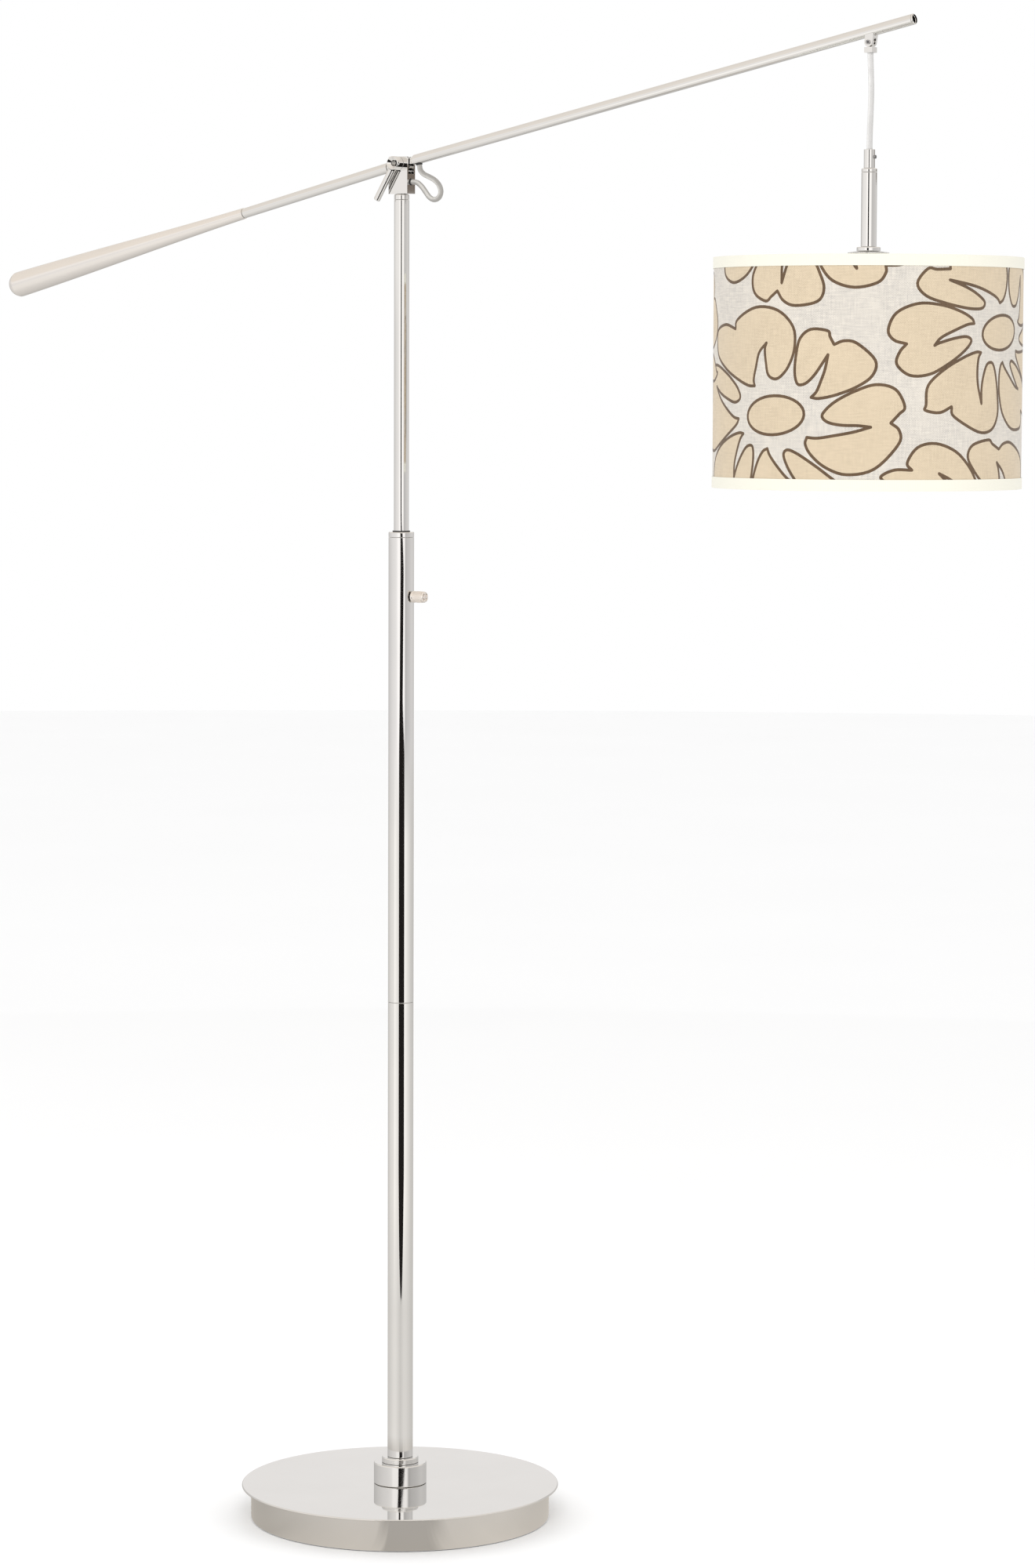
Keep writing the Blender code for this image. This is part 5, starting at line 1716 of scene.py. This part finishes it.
# ---------------------------------------------------------------- studio
@dataclass(frozen=True)
class Card:
    """A card that only reflections see, in (reach, height, start, end) rows, with angles in degrees."""

    name: str
    colour: Colour
    rows: tuple[tuple[float, float, float, float], ...]


@dataclass(frozen=True)
class Row:
    """One ring of the surround: its reach, its height, its tint and its (angle, brightness) tones."""

    reach: float
    height: float
    tint: Colour
    tones: tuple[Point, ...]


NEAR_TONES = (
    (-180, 0.5), (-62, 0.52), (-48, 0.62), (-20, 0.72), (-7.5, 0.70), (-6.5, 0.49), (13, 0.49), (18, 0.70),
    (42, 0.76), (66, 0.66),
)
FLOOR_TONES = (
    (-180, 0.5), (-90, 0.52), (-70, 0.62), (-29, 0.72), (-11, 0.70), (-9.5, 0.49), (19, 0.49), (26, 0.70),
    (60, 0.76), (95, 0.66),
)
POLE_TONES = (
    (-180, 0.60), (-110, 0.78), (-60, 0.93), (-40, 0.93), (0, 0.74), (28, 0.86), (52, 0.86), (95, 0.74),
    (150, 0.64),
)
LOW_TONES = (
    (-180, 0.52), (-120, 0.81), (-95, 0.91), (-66, 0.98), (-57, 1.2), (-42, 1.08), (-24, 0.95), (24, 1.25),
    (34, 1.22), (47, 1.1), (63, 1.0), (81, 0.88), (101, 0.76), (128, 0.7),
)
MAST_TONES = (
    (-180, 0.91), (-173, 0.91), (-164, 0.62), (-86, 0.90), (-56, 0.97), (-40, 1.05), (-30, 1.25), (24, 1.25),
    (31, 1.1), (38, 0.56), (50, 0.64), (80, 0.72), (103, 0.80), (150, 0.72), (164, 0.62), (173, 0.91),
)
HIGH_TONES = (
    (-180, 0.42), (-150, 0.66), (-110, 0.94), (-71, 1.02), (-40, 1.05), (-30, 1.25), (24, 1.25), (32, 1.05),
    (40, 0.65), (80, 0.72), (103, 0.80), (150, 0.60),
)
TOP_TONES = ((-180, 0.86), (-90, 0.94), (0, 1.0), (90, 0.94))


@dataclass
class Studio:
    """Camera, lights, floor, and the surround and cards that the plating mirrors."""

    lens: float = 107.32
    eye: Point3 = (3.2164, -4.5245, 1.361)
    swing: float = 33.976
    pitch: float = 85.117
    roll: float = 0.196
    sky: float = 1.0
    columns: int = 180
    floor_reach: float = 14.0
    aim: Point3 = (0.3, 0.0, 1.1)
    light_size: float = 2.5
    surround: tuple[Row, ...] = (
        Row(0.1805, 0.0006, (1.0, 0.93, 0.84), NEAR_TONES),
        Row(0.33, 0.0006, (1.0, 0.94, 0.87), FLOOR_TONES),
        Row(0.44, 0.0025, (1.0, 0.97, 0.93), POLE_TONES),
        Row(1.30, 0.0025, (1.0, 0.97, 0.93), POLE_TONES),
        Row(2.20, 0.0025, (1.0, 0.97, 0.93), LOW_TONES),
        Row(4.60, 0.0025, (1.0, 0.975, 0.94), LOW_TONES),
        Row(4.60, 0.37, (1.0, 0.975, 0.94), LOW_TONES),
        Row(4.60, 0.61, (1.0, 0.975, 0.965), MAST_TONES),
        Row(4.60, 1.47, (1.0, 0.975, 0.95), MAST_TONES),
        Row(4.60, 1.62, (1.0, 0.975, 0.95), HIGH_TONES),
        Row(4.60, 2.35, (1.0, 0.965, 0.93), HIGH_TONES),
        Row(4.60, 2.80, (1.0, 0.935, 0.86), TOP_TONES),
        Row(4.60, 4.20, (1.0, 0.935, 0.86), TOP_TONES),
        Row(0.05, 4.20, (1.0, 0.935, 0.86), TOP_TONES),
    )
    cards: tuple[Card, ...] = (
        Card(
            "card_dark",
            (0.016, 0.014, 0.013),
            (
                (1.35, 0.004, 0.0, 12.0),
                (1.75, 0.004, -12.0, 22.0),
                (2.50, 0.004, -18.0, 31.0),
                (4.20, 0.004, -18.0, 31.0),
                (4.20, 0.60, -18.0, 31.0),
                (4.20, 0.70, -14.0, 14.0),
                (4.20, 0.98, -7.0, 22.0),
                (4.20, 1.05, -8.0, 12.0),
                (4.20, 1.09, -13.0, 3.0),
                (4.20, 1.90, -13.0, 3.0),
            ),
        ),
        Card("card_side", (0.03, 0.028, 0.03), ((4.2, 1.25, 63.0, 77.0), (4.2, 1.49, 63.0, 77.0))),
        Card("card_head", (0.19, 0.155, 0.125), ((4.2, 1.75, 100.0, 118.0), (4.2, 1.88, 100.0, 118.0))),
    )

    def build_camera(self) -> None:
        """Makes the camera."""
        data = bpy.data.cameras.new("camera")
        data.lens = self.lens
        data.sensor_width = 36.0
        data.sensor_fit = "AUTO"
        camera = bpy.data.objects.new("camera", data)
        bpy.context.scene.collection.objects.link(camera)
        turn = Matrix.Rotation(math.radians(self.swing), 4, "Z")
        tip = Matrix.Rotation(math.radians(self.pitch), 4, "X")
        lean = Matrix.Rotation(math.radians(self.roll), 4, "Z")
        camera.matrix_world = Matrix.Translation(self.eye) @ turn @ tip @ lean
        bpy.context.scene.camera = camera

    def build(self) -> None:
        """Makes the sky, the floor, the lights, and the surround and cards that the plating mirrors."""
        scene = bpy.context.scene
        scene.view_settings.view_transform = "Standard"
        scene.view_settings.look = "None"
        world = scene.world or bpy.data.worlds.new("world")
        scene.world = world
        world.use_nodes = True
        inputs = world.node_tree.nodes["Background"].inputs
        inputs["Color"].default_value = (1.0, 1.0, 1.0, 1.0)
        inputs["Strength"].default_value = self.sky
        self.build_floor()
        self.build_lights()
        self.build_surround()
        for card in self.cards:
            self.build_card(card)

    def build_floor(self) -> None:
        """Makes the round level floor, which the white sky meets all round."""
        shape = bmesh.new()
        rim = [self.bearing(angle) * self.floor_reach for angle in range(0, 360, 5)]
        shape.faces.new([shape.verts.new(point) for point in rim])
        floor = piece_of("floor", smoothed(shape, "floor"))
        shader = Shader("studio_floor")
        cloud = shader.noise(shader.place(), 1.5, 2.0)
        colour = shader.blend(cloud, (0.95, 0.95, 0.95), (0.97, 0.97, 0.97))
        floor.data.materials.append(shader.surface(Base_Color=colour, Roughness=0.9))

    def build_lights(self) -> None:
        """Makes the two soft lights."""
        for name, place, power in (("key", (2.8, -4.3, 3.2), 85.0), ("fill", (-3.5, -2.5, 3.0), 6.0)):
            data = bpy.data.lights.new(name, "AREA")
            data.energy = power
            data.size = self.light_size
            light = bpy.data.objects.new(name, data)
            bpy.context.scene.collection.objects.link(light)
            way = Vector(place) - Vector(self.aim)
            light.location = place
            light.rotation_euler = way.to_track_quat("Z", "Y").to_euler()
            light.visible_glossy = False

    def bearing(self, degrees: float) -> Vector:
        """The level direction at an angle from the camera's own."""
        turn = math.atan2(self.eye[1], self.eye[0]) + math.radians(degrees)
        return Vector((math.cos(turn), math.sin(turn), 0.0))

    def build_surround(self) -> None:
        """Makes the closed drum of soft tones round the lamp, blended from row to row."""
        shape = bmesh.new()
        tone = shape.verts.layers.float_color.new("tone")
        angles = [360.0 * column / self.columns - 180.0 for column in range(self.columns)]
        rings = []
        for row in self.surround:
            places, levels = zip(*row.tones)
            ring = []
            for angle in angles:
                point = shape.verts.new(self.bearing(angle) * row.reach + Vector((0, 0, row.height)))
                level = float(np.interp(angle, places, levels, period=360.0))
                point[tone] = (*(level * channel for channel in row.tint), 1.0)
                ring.append(point)
            rings.append(ring)
        for low, high in zip(rings, rings[1:]):
            for side in range(self.columns):
                after = (side + 1) % self.columns
                shape.faces.new((low[side], low[after], high[after], high[side]))
        shader = Shader("surround")
        colour = shader.node("ShaderNodeAttribute", {"attribute_name": "tone"}).outputs["Color"]
        self.show_to_gloss(piece_of("surround", smoothed(shape, "surround")), shader, colour)

    def build_card(self, card: Card) -> None:
        """Makes one card.

        Args:
            card: The card.
        """
        shape = bmesh.new()
        rows = []
        for reach, height, start, end in card.rows:
            places = [self.bearing(a) * reach + Vector((0, 0, height)) for a in np.linspace(start, end, 7)]
            rows.append([shape.verts.new(place) for place in places])
        for low, high in zip(rows, rows[1:]):
            for index in range(len(low) - 1):
                shape.faces.new((low[index], low[index + 1], high[index + 1], high[index]))
        self.show_to_gloss(piece_of(card.name, smoothed(shape, card.name)), Shader(card.name), card.colour)

    def show_to_gloss(self, piece: bpy.types.Object, shader: Shader, colour: object) -> None:
        """Makes a piece glow in a colour, which neither the camera nor matt surfaces see.

        Args:
            piece: The piece.
            shader: Its new material.
            colour: The colour, or the socket that gives it.
        """
        glow = shader.node("ShaderNodeEmission", None, Color=colour, Strength=1.0)
        shader.node("ShaderNodeOutputMaterial", None, Surface=glow.outputs[0])
        piece.data.materials.append(shader.material)
        for sight in ("camera", "diffuse", "transmission", "volume_scatter", "shadow"):
            setattr(piece, f"visible_{sight}", False)


def main() -> None:
    """Builds the scene in order."""
    logging.basicConfig(level=logging.INFO, format="%(message)s")
    studio = Studio()
    studio.build_camera()
    Plain().build()
    Cords().build()
    Base().build()
    Pole().build()
    Head().build()
    Boom().build()
    Pendant().build()
    studio.build()


if __name__ == "__main__":
    main()
